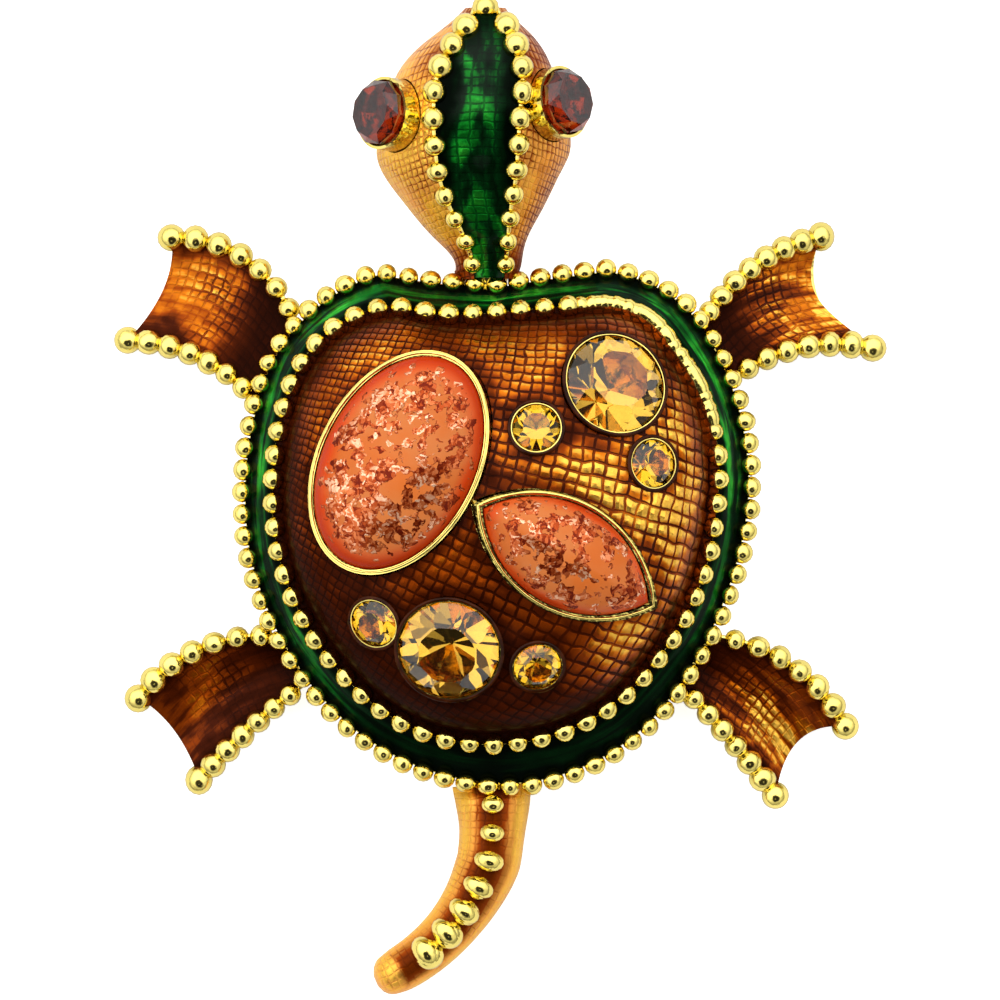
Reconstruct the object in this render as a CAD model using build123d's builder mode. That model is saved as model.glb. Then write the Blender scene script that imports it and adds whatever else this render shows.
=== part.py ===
from build123d import *
import os
from math import atan2, cos, degrees, hypot, radians, sin

os.makedirs("parts", exist_ok=True)

# A turtle brooch lying on its back on a table. Sizes are in millimetres. The head points along +Y,
# the front faces +Z, and the origin is on the table below the middle of the brooch.

# Gaps and thicknesses that many pieces share
enamel_depth = 0.4
enamel_gap = 0.06
core_gap = 0.18  # between the metal of the head or the tail and its enamel
bead_gap = 0.05
stone_gap = 0.05
solder_gap = 0.05
sink = 0.3  # how far one part of the casting reaches into the next

# The shell
shell_half_width = 16.25
shell_x = -0.3
shell_y = -2.1
rim_floor = 2.2
rim_level = 3.4
ridge_level = 5.4
dome_rise = 6.3
dome_fullness = 2.3
dome_inset = 1.2
dome_steps = 7
dome_flat_top = 6.0  # degrees of the dome's quarter turn left out at its top
ledge_width = 0.3
wall = 1.4
rim_edge = 0.15  # the wall stands this far inside the line of the outer beads

rim_beads = 75
rim_bead_radius = 0.5
rim_bead_lift = 0.45
ridge_beads = 60
ridge_bead_radius = 0.6
ridge_bead_lift = 0.2
worn_from = 0.80  # shares of the ridge line, from the neck round by the left, between which its
worn_to = 0.94  # beads have run together
ledge_depth = 0.9  # metal below the ledge of the inner beads
ledge_run = 1.0  # how far the hollow's corner lies inside the line of the inner beads

# Outline of the shell. Columns: angle from +X in degrees, then the reach of the line of outer beads
# and of the line of inner beads, as shares of shell_half_width.
ANGLE, RIM, RIDGE = range(3)
SHELL_OUTLINE = (
    (90, 0.950, 0.840),
    (102, 0.985, 0.852),
    (115, 1.105, 0.957),
    (130, 1.126, 1.008),
    (145, 1.100, 0.980),
    (165, 1.026, 0.904),
    (185, 0.986, 0.862),
    (206, 0.962, 0.836),
    (225, 0.969, 0.832),
    (250, 0.996, 0.850),
    (275, 1.018, 0.844),
    (300, 0.995, 0.832),
    (320, 0.954, 0.811),
    (343, 0.949, 0.824),
    (365, 1.000, 0.860),
    (387, 1.071, 0.941),
    (406, 1.142, 0.990),
    (417, 1.142, 1.009),
    (427, 1.100, 0.949),
    (438, 1.006, 0.876),
)

# Stones
large_stone_radius = 3.2
small_stone_radius = 1.5
setting_wall = 0.14
setting_floor = 0.6
crown_share = 0.34  # height above the girdle, as a share of the stone's radius
pavilion_share = 0.86
table_share = 0.56
girdle = 0.12
stone_sides = 8
culet_share = 0.03
star_share = 1.03
star_run = 2.1  # how far a star facet runs out for each millimetre that it falls
stone_raise = 0.5  # girdle above the metal of the dome
oval_half_length = 7.2
oval_half_width = 4.9
oval_turn = 62.0
marquise_half_length = 6.1
marquise_half_width = 3.25
marquise_turn = -29.6
marquise_tip = 1.9  # how much more the pointed ends grow than the sides
cabochon_rise = 2.3
cabochon_base = 0.8
cabochon_steps = 6
cabochon_raise = 0.1
setting_rise = 0.1
seat_rise = 3.0
bezel_wall = 0.3
bezel_lip = 0.3
bezel_floor = 0.7

# Where the stones stand. Columns: how far across and along from the shell's middle, as shares of
# shell_half_width, then the radius.
RADIUS = 2
CHATONS = {
    "large_stone_front": (0.451, 0.551, large_stone_radius),
    "large_stone_rear": (-0.181, -0.465, large_stone_radius),
    "small_stone_1": (0.154, 0.382, small_stone_radius),
    "small_stone_2": (0.594, 0.248, small_stone_radius),
    "small_stone_3": (-0.465, -0.362, small_stone_radius),
    "small_stone_4": (0.154, -0.528, small_stone_radius),
}
oval_place = (-0.378, 0.252)
marquise_place = (0.266, -0.108)

# The head
head_y = 13.6  # where the neck leaves the shell
head_length = 17.6
head_x = -1.7
head_half_width = 6.15
crown_half_width = 2.75
head_floor = 2.4
head_height = 6.0
head_lip = 0.6
crown_drop = 0.3  # the crown's edges lie this far below its middle
head_bulge = 0.13
head_beads = 11
head_bead_start = 0.03
head_bead_sink = 0.25
crown_line = 0.5  # the enamel of the crown stops this far inside the crown's edges
neck_bead_radius = 0.57
nose_bead_radius = 0.84

# Sections of the head, from inside the shell's wall to the nose. Columns: how far along, as a share
# of head_length; how far its middle and its crown's middle lie to the side of head_x, as shares of
# head_half_width; its half width, as a share of the same; the crown's half width, as a share of
# crown_half_width; and its height, as a share of head_height.
ALONG, MIDDLE, CROWN_MIDDLE, HALF_WIDTH, CROWN_HALF, HEIGHT = range(6)
HEAD_SECTIONS = (
    (-0.07, 0.12, 0.16, 0.30, 0.34, 0.26),
    (0.03, 0.12, 0.15, 0.33, 0.36, 0.42),
    (0.10, 0.12, 0.14, 0.38, 0.42, 0.51),
    (0.17, 0.05, 0.11, 0.51, 0.53, 0.63),
    (0.26, 0.01, 0.06, 0.69, 0.70, 0.75),
    (0.36, -0.03, 0.03, 0.87, 0.87, 0.87),
    (0.46, -0.02, 0.02, 1.00, 0.95, 0.96),
    (0.60, 0.00, 0.02, 0.95, 1.00, 1.00),
    (0.73, 0.00, 0.05, 0.84, 0.99, 0.96),
    (0.83, 0.04, 0.09, 0.68, 0.80, 0.84),
    (0.91, 0.09, 0.12, 0.45, 0.50, 0.68),
    (0.99, 0.11, 0.11, 0.20, 0.25, 0.50),
)

# The eyes
eye_radius = 2.1
eye_crown = 1.15
eye_pavilion = 1.15
eye_table_share = 0.5
eye_wall = 0.18
eye_level = 6.6
eye_post_radius = 0.35
eye_post_length = 3.2
eye_post_drop = 0.8

# Columns: across from head_x and along from head_y, as shares of head_half_width and head_length,
# then the lean away from upright and the direction of the lean, in degrees.
EYES = {
    "eye_stone_left": (-0.955, 0.605, 48.0, 172.0),
    "eye_stone_right": (0.915, 0.645, 50.0, 12.0),
}

# The flippers
front_span = 27.85
rear_span = 25.4
flipper_root = 3.5
flipper_tip = 1.1
flipper_thickness = 1.1
flipper_trough = 0.5
flipper_notch = 1.3
flipper_steps = 4
flipper_root_bead = 0.6
flipper_tip_bead = 0.88
flipper_bead_lift = 0.15

# Plan of the flippers. Each has its span, then its two long edges, one after the other. Columns of an
# edge: direction from the shell's middle in degrees and reach, at the root, the middle and the tip,
# where the root's reach is a share of shell_half_width and the others are shares of the span. Then
# comes the depth of the hollow outer edge, as a share of flipper_notch, and the beads on each edge.
HOLLOW, BEADS = 3, 4
FLIPPERS = {
    "front_left": (
        front_span,
        (137.0, 1.06, 133.4, 0.86, 138.3, 1.00),
        (153.4, 1.02, 150.3, 0.80, 153.1, 0.950),
        0.85,
        (7, 7),
    ),
    "front_right": (
        front_span,
        (31.9, 1.04, 30.4, 0.82, 25.5, 0.956),
        (43.2, 1.06, 45.4, 0.84, 41.9, 1.00),
        1.40,
        (7, 8),
    ),
    "rear_left": (
        rear_span,
        (209.4, 0.90, 202.6, 0.86, 205.5, 1.00),
        (219.2, 0.92, 219.2, 0.82, 220.3, 0.983),
        0.60,
        (7, 7),
    ),
    "rear_right": (
        rear_span,
        (319.9, 0.90, 317.7, 0.81, 316.1, 0.973),
        (331.9, 0.90, 335.0, 0.81, 330.3, 1.01),
        1.15,
        (7, 7),
    ),
}
flipper_enamel_depth = 0.3
trough_gap = 0.12  # between the beads of a flipper and its enamel
flipper_fill_start = 0.17
flipper_bead_start = 0.2

# The enamel band between the rims
band_depth = 0.55
band_low = 4.33
band_high = 5.12

# The pin back
pin_y = 2.0
pin_bar_top = 4.0
pin_bar_thickness = 0.8
pin_bar_width = 3.6
pin_bar_length = 25.2
pin_lug_reach = 12.2
pin_lug_length = 2.6
pin_barrel_radius = 0.9
pin_barrel_length = 2.2
pin_barrel_reach = 10.6
pin_stem_radius = 0.4
pin_stem_length = 24.0
pin_point = 2.2
pin_tip_radius = 0.08
pin_post_width = 1.4

# The tail
tail_y = -17.0  # where the tail's line starts, inside the shell's wall
tail_length = 14.0
tail_half_width = 2.3
tail_height = 2.4
tail_root_floor = 2.4
tail_tip_floor = 0.5
tail_beads = 7
tail_bead_start = 0.16
tail_bead_end = 0.78
tail_bead_sink = 0.2
tail_root_bead = 0.66
tail_tip_bead = 1.02

# Line of the tail, as two arcs. Columns: how far across from shell_x and how far down from tail_y,
# as shares of tail_length.
TAIL_LINE = (
    (-0.036, 0.00),
    (-0.018, 0.24),
    (-0.036, 0.455),
    (-0.131, 0.673),
    (-0.545, 1.018),
)

# Sections of the tail. Columns: how far along its line, then the half width and the height, as shares
# of tail_half_width and tail_height.
TAIL_HEIGHT = 2
TAIL_SECTIONS = (
    (0.00, 1.00, 0.80),
    (0.14, 1.04, 0.86),
    (0.26, 0.92, 0.95),
    (0.40, 0.87, 1.00),
    (0.53, 0.75, 1.00),
    (0.66, 0.65, 0.98),
    (0.79, 0.60, 0.94),
    (0.90, 0.58, 0.86),
    (0.96, 0.47, 0.70),
    (0.995, 0.20, 0.36),
)


def polar(angle, reach):
    """A point of the shell's plan, by its direction and distance from the shell's middle."""
    return (shell_x + reach * cos(radians(angle)), shell_y + reach * sin(radians(angle)))


def shell_arcs(column, share=1.0, grow=0.0):
    """The shell's outline as a ring of arcs. Call it inside a line context."""
    corners = [
        polar(row[ANGLE], row[column] * shell_half_width * share + grow) for row in SHELL_OUTLINE
    ]
    for start in range(0, len(corners), 2):
        ThreePointArc(corners[start], corners[start + 1], corners[(start + 2) % len(corners)])


def shell_level(column, level, share=1.0, grow=0.0):
    """A flat cut through the shell at one level."""
    with BuildSketch(Plane.XY.offset(level)) as cut:
        with BuildLine():
            shell_arcs(column, share, grow)
        make_face()
    return cut.sketch


def shell_line(column, level):
    """The line that a ring of beads follows round the shell."""
    with BuildLine(Plane.XY.offset(level)) as ring:
        shell_arcs(column)
    return ring.wires()[0]


def cove(lift):
    """The sloping band between the two rims, raised by lift."""
    with BuildPart() as band:
        loft(
            [
                shell_level(RIM, rim_level + lift, grow=-rim_edge),
                shell_level(RIDGE, ridge_level + lift, grow=ledge_width),
            ],
            ruled=True,
        )
    return band.part


def dome(grow, foot):
    """The domed top of the shell, grown by one thickness all over and cut off at its foot."""
    levels = [shell_level(RIDGE, foot, grow=grow - dome_inset)]
    for step in range(1, dome_steps):
        turn = radians((90 - dome_flat_top) * step / (dome_steps - 1))
        share = cos(turn) ** (2 / dome_fullness)
        rise = sin(turn) ** (2 / dome_fullness)
        level = ridge_level + dome_rise * rise + grow
        levels.append(shell_level(RIDGE, level, share, (grow - dome_inset) * share))
    with BuildPart() as top:
        loft(levels)
    return top.part


def bead_plane(place, out):
    """The plane of a bead, turned so that the seam of its sphere faces out of the metal."""
    up = Vector(0, 0, 1)
    return Plane(place, x_dir=out + up, z_dir=up - out)


def ring_planes(line, shares):
    """The planes of the beads at these shares of a ring round the shell."""
    places = [line.position_at(share) for share in shares]
    return [
        bead_plane(place, Vector(place.X - shell_x, place.Y - shell_y).normalized())
        for place in places
    ]


def bead_ring(planes, radius):
    """Beads of one size."""
    with BuildPart() as ring:
        with Locations(*planes):
            Sphere(radius)
    return ring.part


def bead_row(planes, first_radius, last_radius, grow=0.0):
    """Beads that grow in size from the first to the last."""
    with BuildPart() as row:
        for step, plane in enumerate(planes):
            share = step / (len(planes) - 1)
            with Locations(plane):
                Sphere(first_radius + share * (last_radius - first_radius) + grow)
    return row.part


def reach_at(angle, column):
    """How far a line of beads lies from the shell's middle in one direction."""
    first = SHELL_OUTLINE[0]
    rows = (*SHELL_OUTLINE, (first[ANGLE] + 360, first[RIM], first[RIDGE]))
    turned = first[ANGLE] + (angle - first[ANGLE]) % 360
    low, high = next(pair for pair in zip(rows, rows[1:]) if turned <= pair[1][ANGLE])
    share = (turned - low[ANGLE]) / (high[ANGLE] - low[ANGLE])
    return shell_half_width * (low[column] + share * (high[column] - low[column]))


def dome_height(x, y):
    """The level of the dome's metal above one point."""
    angle = degrees(atan2(y - shell_y, x - shell_x))
    share = hypot(x - shell_x, y - shell_y) / (reach_at(angle, RIDGE) - dome_inset)
    return ridge_level + dome_rise * (1 - share**dome_fullness) ** (1 / dome_fullness)


def dome_plane(across, along, raised, turn=0.0):
    """The plane of a stone's girdle, square to the dome below the stone's middle."""
    x = shell_x + across * shell_half_width
    y = shell_y + along * shell_half_width
    step = small_stone_radius
    slope_x = (dome_height(x + step, y) - dome_height(x - step, y)) / (2 * step)
    slope_y = (dome_height(x, y + step) - dome_height(x, y - step)) / (2 * step)
    up = Vector(-slope_x, -slope_y, 1).normalized()
    side = Vector(cos(radians(turn)), sin(radians(turn)), 0)
    side = side - up * side.dot(up)
    middle = Vector(x, y, dome_height(x, y)) + up * raised
    return Plane(middle, x_dir=side, z_dir=up)


def tier(plane, sides, turn, low, low_reach, high, high_reach):
    """One ring of flat facets between two levels of a cut stone."""
    levels = []
    for level, reach in ((low, low_reach), (high, high_reach)):
        with BuildSketch(plane.offset(level)) as cut:
            RegularPolygon(reach, sides, major_radius=False, rotation=turn)
        levels.append(cut.sketch)
    with BuildPart() as ring:
        loft(levels, ruled=True)
    return ring.part


def common(first, *others):
    """What all of these solids share."""
    with BuildPart() as shared:
        add(first)
        for other in others:
            add(other, mode=Mode.INTERSECT)
    return shared.part


def cut_stone(plane, radius, crown, pavilion, table):
    """A round stone with a table, three rings of crown facets and two rings of pavilion facets."""
    half = 180 / stone_sides
    reach = radius * cos(radians(half / 2))
    culet = culet_share * radius
    star = table * star_share
    upper = tier(plane, 2 * stone_sides, half / 2, 0, reach, crown, reach - crown)
    main = tier(plane, stone_sides, half, 0, reach, crown, table)
    stars = tier(plane, stone_sides, 0, 0, star + crown * star_run, crown, star)
    belt = tier(plane, 2 * stone_sides, half / 2, -girdle, reach, 0, reach)
    low = -girdle - pavilion
    lower = tier(plane, 2 * stone_sides, half / 2, low, 4 * culet, -girdle, reach)
    point = tier(plane, stone_sides, half, low, culet, -girdle, reach)
    with BuildPart() as stone:
        add(common(main, upper, stars))
        add(belt)
        add(common(lower, point))
    return stone.part


def round_setting(plane, radius, pavilion, thickness, rise, grow=0.0):
    """The solid cup that a round stone is set in, before its seat is cut."""
    depth = girdle + pavilion + setting_floor
    with BuildPart(plane.offset(-depth)) as cup:
        Cylinder(
            radius + stone_gap + thickness + grow,
            depth + rise,
            align=(Align.CENTER, Align.CENTER, Align.MIN),
        )
    return cup.part


def round_seat(plane, radius, pavilion, rise):
    """The space that a round stone fills in its cup, with its gap."""
    opening = radius + stone_gap
    with BuildPart() as seat:
        with BuildSketch(plane.offset(-girdle - pavilion)) as floor:
            Circle(4 * culet_share * radius)
        with BuildSketch(plane.offset(-girdle - stone_gap)) as waist:
            Circle(opening)
        loft([floor.sketch, waist.sketch], ruled=True)
        extrude(waist.sketch, amount=girdle + stone_gap + rise)
    return seat.part


def oval_outline(plane, grow, share=1.0):
    """The outline of the oval cabochon or of what surrounds it."""
    with BuildSketch(plane) as outline:
        Ellipse((oval_half_length + grow) * share, (oval_half_width + grow) * share)
    return outline.sketch


def marquise_outline(plane, grow, share=1.0):
    """The outline of the marquise cabochon or of what surrounds it."""
    length = (marquise_half_length + grow * marquise_tip) * share
    width = (marquise_half_width + grow) * share
    with BuildSketch(plane) as outline:
        with BuildLine():
            ThreePointArc((-length, 0), (0, width), (length, 0))
            ThreePointArc((length, 0), (0, -width), (-length, 0))
        make_face()
    return outline.sketch


def cabochon(outline, plane):
    """A smooth stone with a flat back, domed from its girdle up."""
    levels = []
    for step in range(cabochon_steps):
        turn = radians((90 - dome_flat_top) * step / (cabochon_steps - 1))
        levels.append(outline(plane.offset(cabochon_rise * sin(turn)), 0, cos(turn)))
    with BuildPart() as stone:
        loft(levels)
        extrude(outline(plane, 0), amount=-cabochon_base)
    return stone.part


def bar(outline, plane, grow, low, high):
    """An upright block of a stone's outline between two levels."""
    with BuildPart() as block:
        extrude(outline(plane.offset(low), grow), amount=high - low)
    return block.part


def along_table(rows, share, column):
    """A value of a table of sections, between the rows on either side of one share of its length."""
    low, high = next(pair for pair in zip(rows, rows[1:]) if share <= pair[1][0])
    step = (share - low[0]) / (high[0] - low[0])
    return low[column] + step * (high[column] - low[column])


def head_plane(row):
    """The upright plane of one section of the head."""
    return Plane.XZ.offset(-head_y - row[ALONG] * head_length)


def head_side(row, shrink, side):
    """The foot, the swell and the brow of one side of a section of the head."""
    wide = row[HALF_WIDTH] * head_half_width - shrink
    foot = Vector(head_x + row[MIDDLE] * head_half_width + side * wide, head_floor + head_lip)
    brow = Vector(
        head_x + row[CROWN_MIDDLE] * head_half_width + side * row[CROWN_HALF] * crown_half_width,
        head_floor + row[HEIGHT] * head_height - crown_drop - shrink,
    )
    swell = Vector(side * (brow.Y - foot.Y), abs(foot.X - brow.X)) * head_bulge
    return foot, (foot + brow) / 2 + swell, brow


def head_form(shrink):
    """The whole head, or its core below one thickness all over."""
    sections = []
    for row in HEAD_SECTIONS:
        left = head_side(row, shrink, -1)
        right = head_side(row, shrink, 1)
        with BuildSketch(head_plane(row)) as section:
            with BuildLine():
                Line((left[0].X, head_floor), (right[0].X, head_floor))
                Line((right[0].X, head_floor), right[0])
                ThreePointArc(*right)
                ThreePointArc(right[2], (left[2] + right[2]) / 2 + Vector(0, crown_drop), left[2])
                ThreePointArc(*reversed(left))
                Line(left[0], (left[0].X, head_floor))
            make_face()
        sections.append(section.sketch)
    with BuildPart() as form:
        loft(sections)
    return form.part


def side_skin(side):
    """The enamel of one side of the head, before the room for its beads and its eye is cut."""
    sections = []
    for row in HEAD_SECTIONS[1:]:
        outer = head_side(row, 0, side)
        inner = head_side(row, enamel_depth, side)
        with BuildSketch(head_plane(row)) as section:
            with BuildLine():
                ThreePointArc(*outer)
                Line(outer[2], inner[2])
                ThreePointArc(*reversed(inner))
                Line(inner[0], (inner[0].X, head_floor))
                Line((inner[0].X, head_floor), (outer[0].X, head_floor))
                Line((outer[0].X, head_floor), outer[0])
            make_face()
        sections.append(section.sketch)
    with BuildPart() as skin:
        loft(sections)
    return skin.part


def crown_skin():
    """The enamel of the crown of the head, before the room for its beads is cut."""
    sections = []
    for row in HEAD_SECTIONS[1:-1]:
        left, right = (head_side(row, 0, side)[2] for side in (-1, 1))
        share = 1 - crown_line / (row[CROWN_HALF] * crown_half_width)
        middle = (left + right) / 2
        half = (right - left) / 2 * share
        rise = Vector(0, crown_drop * (1 - share**2))
        top = Vector(0, crown_drop)
        down = Vector(0, -enamel_depth)
        ends = (middle - half + rise, middle + half + rise)
        with BuildSketch(head_plane(row)) as section:
            with BuildLine():
                ThreePointArc(ends[0], middle + top, ends[1])
                Line(ends[1], ends[1] + down)
                ThreePointArc(ends[1] + down, middle + top + down, ends[0] + down)
                Line(ends[0] + down, ends[0])
            make_face()
        sections.append(section.sketch)
    with BuildPart() as skin:
        loft(sections)
    return skin.part


def head_bead_line(side):
    """The line of beads along one edge of the crown, from the neck to the nose."""
    points = []
    for row in HEAD_SECTIONS[1:]:
        brow = head_side(row, head_bead_sink, side)[2]
        points.append((brow.X, head_y + row[ALONG] * head_length, brow.Y))
    with BuildLine() as line:
        Spline(*points)
    return line.wires()[0]


def head_bead_row(side, facing, grow=0.0):
    """The beads along one edge of the crown, with the seams of their spheres facing one side."""
    line = head_bead_line(side)
    shares = [
        head_bead_start + step * (1 - head_bead_start) / head_beads for step in range(head_beads)
    ]
    planes = [bead_plane(line.position_at(share), Vector(facing, 0, 0)) for share in shares]
    return bead_row(planes, neck_bead_radius, nose_bead_radius, grow)


def nose_bead(grow=0.0):
    """The bead between the far ends of the two rows of the head."""
    nose = (head_bead_line(-1).position_at(1) + head_bead_line(1).position_at(1)) / 2
    return bead_ring([bead_plane(nose, Vector(0, 1, 0))], nose_bead_radius + grow)


def eye_plane(name):
    """The plane of an eye's girdle, which faces up and outwards."""
    across, along, lean, direction = EYES[name]
    up = Vector(
        sin(radians(lean)) * cos(radians(direction)),
        sin(radians(lean)) * sin(radians(direction)),
        cos(radians(lean)),
    )
    middle = Vector(head_x + across * head_half_width, head_y + along * head_length, eye_level)
    return Plane(middle, z_dir=up)


def eye_post(name, grow=0.0):
    """The short post that ties an eye's cup to the crown of the head."""
    plane = eye_plane(name)
    along = EYES[name][1]
    start = plane.origin - plane.z_dir * eye_post_drop
    end = Vector(
        head_x + along_table(HEAD_SECTIONS, along, CROWN_MIDDLE) * head_half_width,
        start.Y,
        head_floor + along_table(HEAD_SECTIONS, along, HEIGHT) * head_height - 2 * crown_drop,
    )
    with BuildPart(Plane(start, z_dir=end - start)) as post:
        Cylinder(
            eye_post_radius + grow,
            eye_post_length,
            align=(Align.CENTER, Align.CENTER, Align.MIN),
        )
    return post.part


def flipper_edge(span, points):
    """One long edge of a flipper in plan, as an arc from its root to its tip."""
    root_turn, root, middle_turn, middle, tip_turn, tip = points
    with BuildLine() as edge:
        ThreePointArc(
            polar(root_turn, root * shell_half_width),
            polar(middle_turn, middle * span),
            polar(tip_turn, tip * span),
        )
    return edge.edges()[0]


def flipper_frame(edges, share):
    """The upright plane across a flipper at one share of its length, and its half width there."""
    low, high = (edge.position_at(share) for edge in edges)
    level = flipper_root + share * (flipper_tip - flipper_root)
    across = (high - low).normalized()
    middle = (low + high) / 2 + Vector(0, 0, level)
    out = across.cross(Vector(0, 0, 1))
    return Plane(middle, x_dir=across, z_dir=out), (high - low).length / 2


def flipper_body(name):
    """The metal of a flipper: a plate with a trough between its two long edges."""
    edges = flipper_edges[name]
    sections = []
    for step in range(flipper_steps):
        plane, half = flipper_frame(edges, step / (flipper_steps - 1))
        with BuildSketch(plane) as section:
            with BuildLine():
                Polyline((half, 0), (half, -flipper_thickness), (-half, -flipper_thickness), (-half, 0))
                ThreePointArc((-half, 0), (0, -flipper_trough), (half, 0))
            make_face()
        sections.append(section.sketch)
    with BuildPart() as body:
        loft(sections)
        add(flipper_notch_cut(name), mode=Mode.SUBTRACT)
    return body.part


def flipper_fill(name):
    """The enamel in a flipper's trough, clear of its beads and of the shell."""
    edges = flipper_edges[name]
    sections = []
    for step in range(flipper_steps):
        share = flipper_fill_start + (1 - flipper_fill_start) * step / (flipper_steps - 1)
        plane, half = flipper_frame(edges, share)
        bead = flipper_root_bead + share * (flipper_tip_bead - flipper_root_bead)
        reach = half - bead - trough_gap
        edge = -flipper_trough * (1 - (reach / half) ** 2) + enamel_gap
        middle = -flipper_trough + enamel_gap
        with BuildSketch(plane) as section:
            with BuildLine():
                ThreePointArc((-reach, edge), (0, middle), (reach, edge))
                Line((reach, edge), (reach, edge + flipper_enamel_depth))
                ThreePointArc(
                    (reach, edge + flipper_enamel_depth),
                    (0, middle + flipper_enamel_depth),
                    (-reach, edge + flipper_enamel_depth),
                )
                Line((-reach, edge + flipper_enamel_depth), (-reach, edge))
            make_face()
        sections.append(section.sketch)
    with BuildPart() as fill:
        loft(sections)
        add(flipper_notch_cut(name), mode=Mode.SUBTRACT)
    return fill.part


def flipper_notch_cut(name):
    """The round block that cuts the hollow outer edge of a flipper."""
    plane, half = flipper_frame(flipper_edges[name], 1)
    depth = FLIPPERS[name][HOLLOW] * flipper_notch
    radius = (half**2 + depth**2) / (2 * depth)
    middle = plane.origin + plane.z_dir * (radius - depth)
    with BuildPart(Plane((middle.X, middle.Y, 0))) as cut:
        Cylinder(radius, 4 * flipper_root)
    return cut.part


def flipper_bead_planes(edges, side, count):
    """The planes of the beads along one edge of a flipper."""
    planes = []
    for step in range(count):
        share = flipper_bead_start + (1 - flipper_bead_start) * step / (count - 1)
        plane, _ = flipper_frame(edges, share)
        level = plane.origin.Z + flipper_bead_lift
        place = edges[side].position_at(share) + Vector(0, 0, level)
        planes.append(bead_plane(place, plane.x_dir * (2 * side - 1)))
    return planes


def flipper(name):
    """A whole flipper of metal, with its beads."""
    edges = flipper_edges[name]
    counts = FLIPPERS[name][BEADS]
    with BuildPart() as whole:
        add(flipper_body(name))
        for side, count in enumerate(counts):
            planes = flipper_bead_planes(edges, side, count)
            add(bead_row(planes, flipper_root_bead, flipper_tip_bead))
    return whole.part


def tail_line():
    """The line of the tail in plan, from inside the shell to the tip."""
    with BuildLine() as line:
        for start in range(0, len(TAIL_LINE) - 1, 2):
            ThreePointArc(*[
                (shell_x + across * tail_length, tail_y - along * tail_length)
                for across, along in TAIL_LINE[start : start + 3]
            ])
    return line.wires()[0]


def tail_plane(share):
    """The upright plane across the tail at one share of its line, on its underside."""
    line = tail_line()
    level = tail_root_floor + share * (tail_tip_floor - tail_root_floor)
    along = line.tangent_at(share)
    middle = line.position_at(share) + Vector(0, 0, level)
    return Plane(middle, x_dir=along.cross(Vector(0, 0, 1)), z_dir=-along)


def tail_arc(row, shrink):
    """The left foot, the top and the right foot of one section of the tail."""
    _, width, height = row
    half = width * (tail_half_width - shrink)
    return (-half, 0), (0, height * (tail_height - shrink)), (half, 0)


def tail_form(shrink):
    """The whole tail, or its core below one thickness all over."""
    sections = []
    for row in TAIL_SECTIONS:
        arc = tail_arc(row, shrink)
        with BuildSketch(tail_plane(row[0])) as section:
            with BuildLine():
                ThreePointArc(*arc)
                Line(arc[2], arc[0])
            make_face()
        sections.append(section.sketch)
    with BuildPart() as form:
        loft(sections)
    return form.part


def tail_skin():
    """The enamel of the tail, before the room for its beads is cut."""
    sections = []
    for row in TAIL_SECTIONS[1:]:
        outer = tail_arc(row, 0)
        inner = tail_arc(row, enamel_depth)
        with BuildSketch(tail_plane(row[0])) as section:
            with BuildLine():
                ThreePointArc(*outer)
                Line(outer[2], inner[2])
                ThreePointArc(*reversed(inner))
                Line(inner[0], outer[0])
            make_face()
        sections.append(section.sketch)
    with BuildPart() as skin:
        loft(sections)
    return skin.part


def tail_bead_row(grow=0.0):
    """The beads along the top of the tail."""
    line = tail_line()
    planes = []
    for step in range(tail_beads):
        share = tail_bead_start + step * (tail_bead_end - tail_bead_start) / (tail_beads - 1)
        floor = tail_root_floor + share * (tail_tip_floor - tail_root_floor)
        level = floor + along_table(TAIL_SECTIONS, share, TAIL_HEIGHT) * tail_height
        place = line.position_at(share) + Vector(0, 0, level - tail_bead_sink)
        planes.append(bead_plane(place, line.tangent_at(share)))
    return bead_row(planes, tail_root_bead, tail_tip_bead, grow)


def hollow():
    """The hollow in the back of the shell."""
    with BuildPart() as space:
        loft(
            [
                shell_level(RIM, rim_floor - sink, grow=-wall),
                shell_level(RIDGE, ridge_level - ledge_depth, grow=-ledge_run),
            ],
            ruled=True,
        )
        add(dome(-wall, ridge_level - ledge_depth - sink))
    return space.part


def pin_lug(side):
    """A small ledge inside the shell's wall that one end of the pin back is fixed under."""
    with BuildPart() as lug:
        with Locations((shell_x + side * pin_lug_reach, pin_y, pin_bar_top + solder_gap)):
            Box(
                pin_lug_length,
                pin_bar_width,
                ridge_level - ledge_depth - pin_bar_top + sink,
                align=(Align.CENTER, Align.CENTER, Align.MIN),
            )
    return lug.part


chaton_planes = {
    name: dome_plane(across, along, stone_raise) for name, (across, along, _) in CHATONS.items()
}
oval_plane = dome_plane(*oval_place, cabochon_raise, oval_turn)
marquise_plane = dome_plane(*marquise_place, cabochon_raise, marquise_turn)
cabochons = {
    "oval_cabochon": (oval_outline, oval_plane),
    "marquise_cabochon": (marquise_outline, marquise_plane),
}
flipper_edges = {
    name: (flipper_edge(span, low), flipper_edge(span, high))
    for name, (span, low, high, *_) in FLIPPERS.items()
}

# Beads of the two rings round the shell
rim_planes = ring_planes(
    shell_line(RIM, rim_level + rim_bead_lift), [step / rim_beads for step in range(rim_beads)]
)
ridge_shares = [step / ridge_beads for step in range(ridge_beads)]
worn_shares = [share + 0.5 / ridge_beads for share in ridge_shares if worn_from < share < worn_to]
ridge_planes = ring_planes(
    shell_line(RIDGE, ridge_level + ridge_bead_lift), ridge_shares + worn_shares
)

# The metal of the head and of the tail
with BuildPart() as head:
    add(head_form(enamel_depth + core_gap))
    for name in EYES:
        add(round_setting(eye_plane(name), eye_radius, eye_pavilion, eye_wall, setting_rise))
        add(eye_post(name))
    for side in (-1, 1):
        add(head_bead_row(side, side))
    add(nose_bead())
with BuildPart() as tail:
    add(tail_form(enamel_depth + core_gap))
    add(tail_bead_row())

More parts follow.
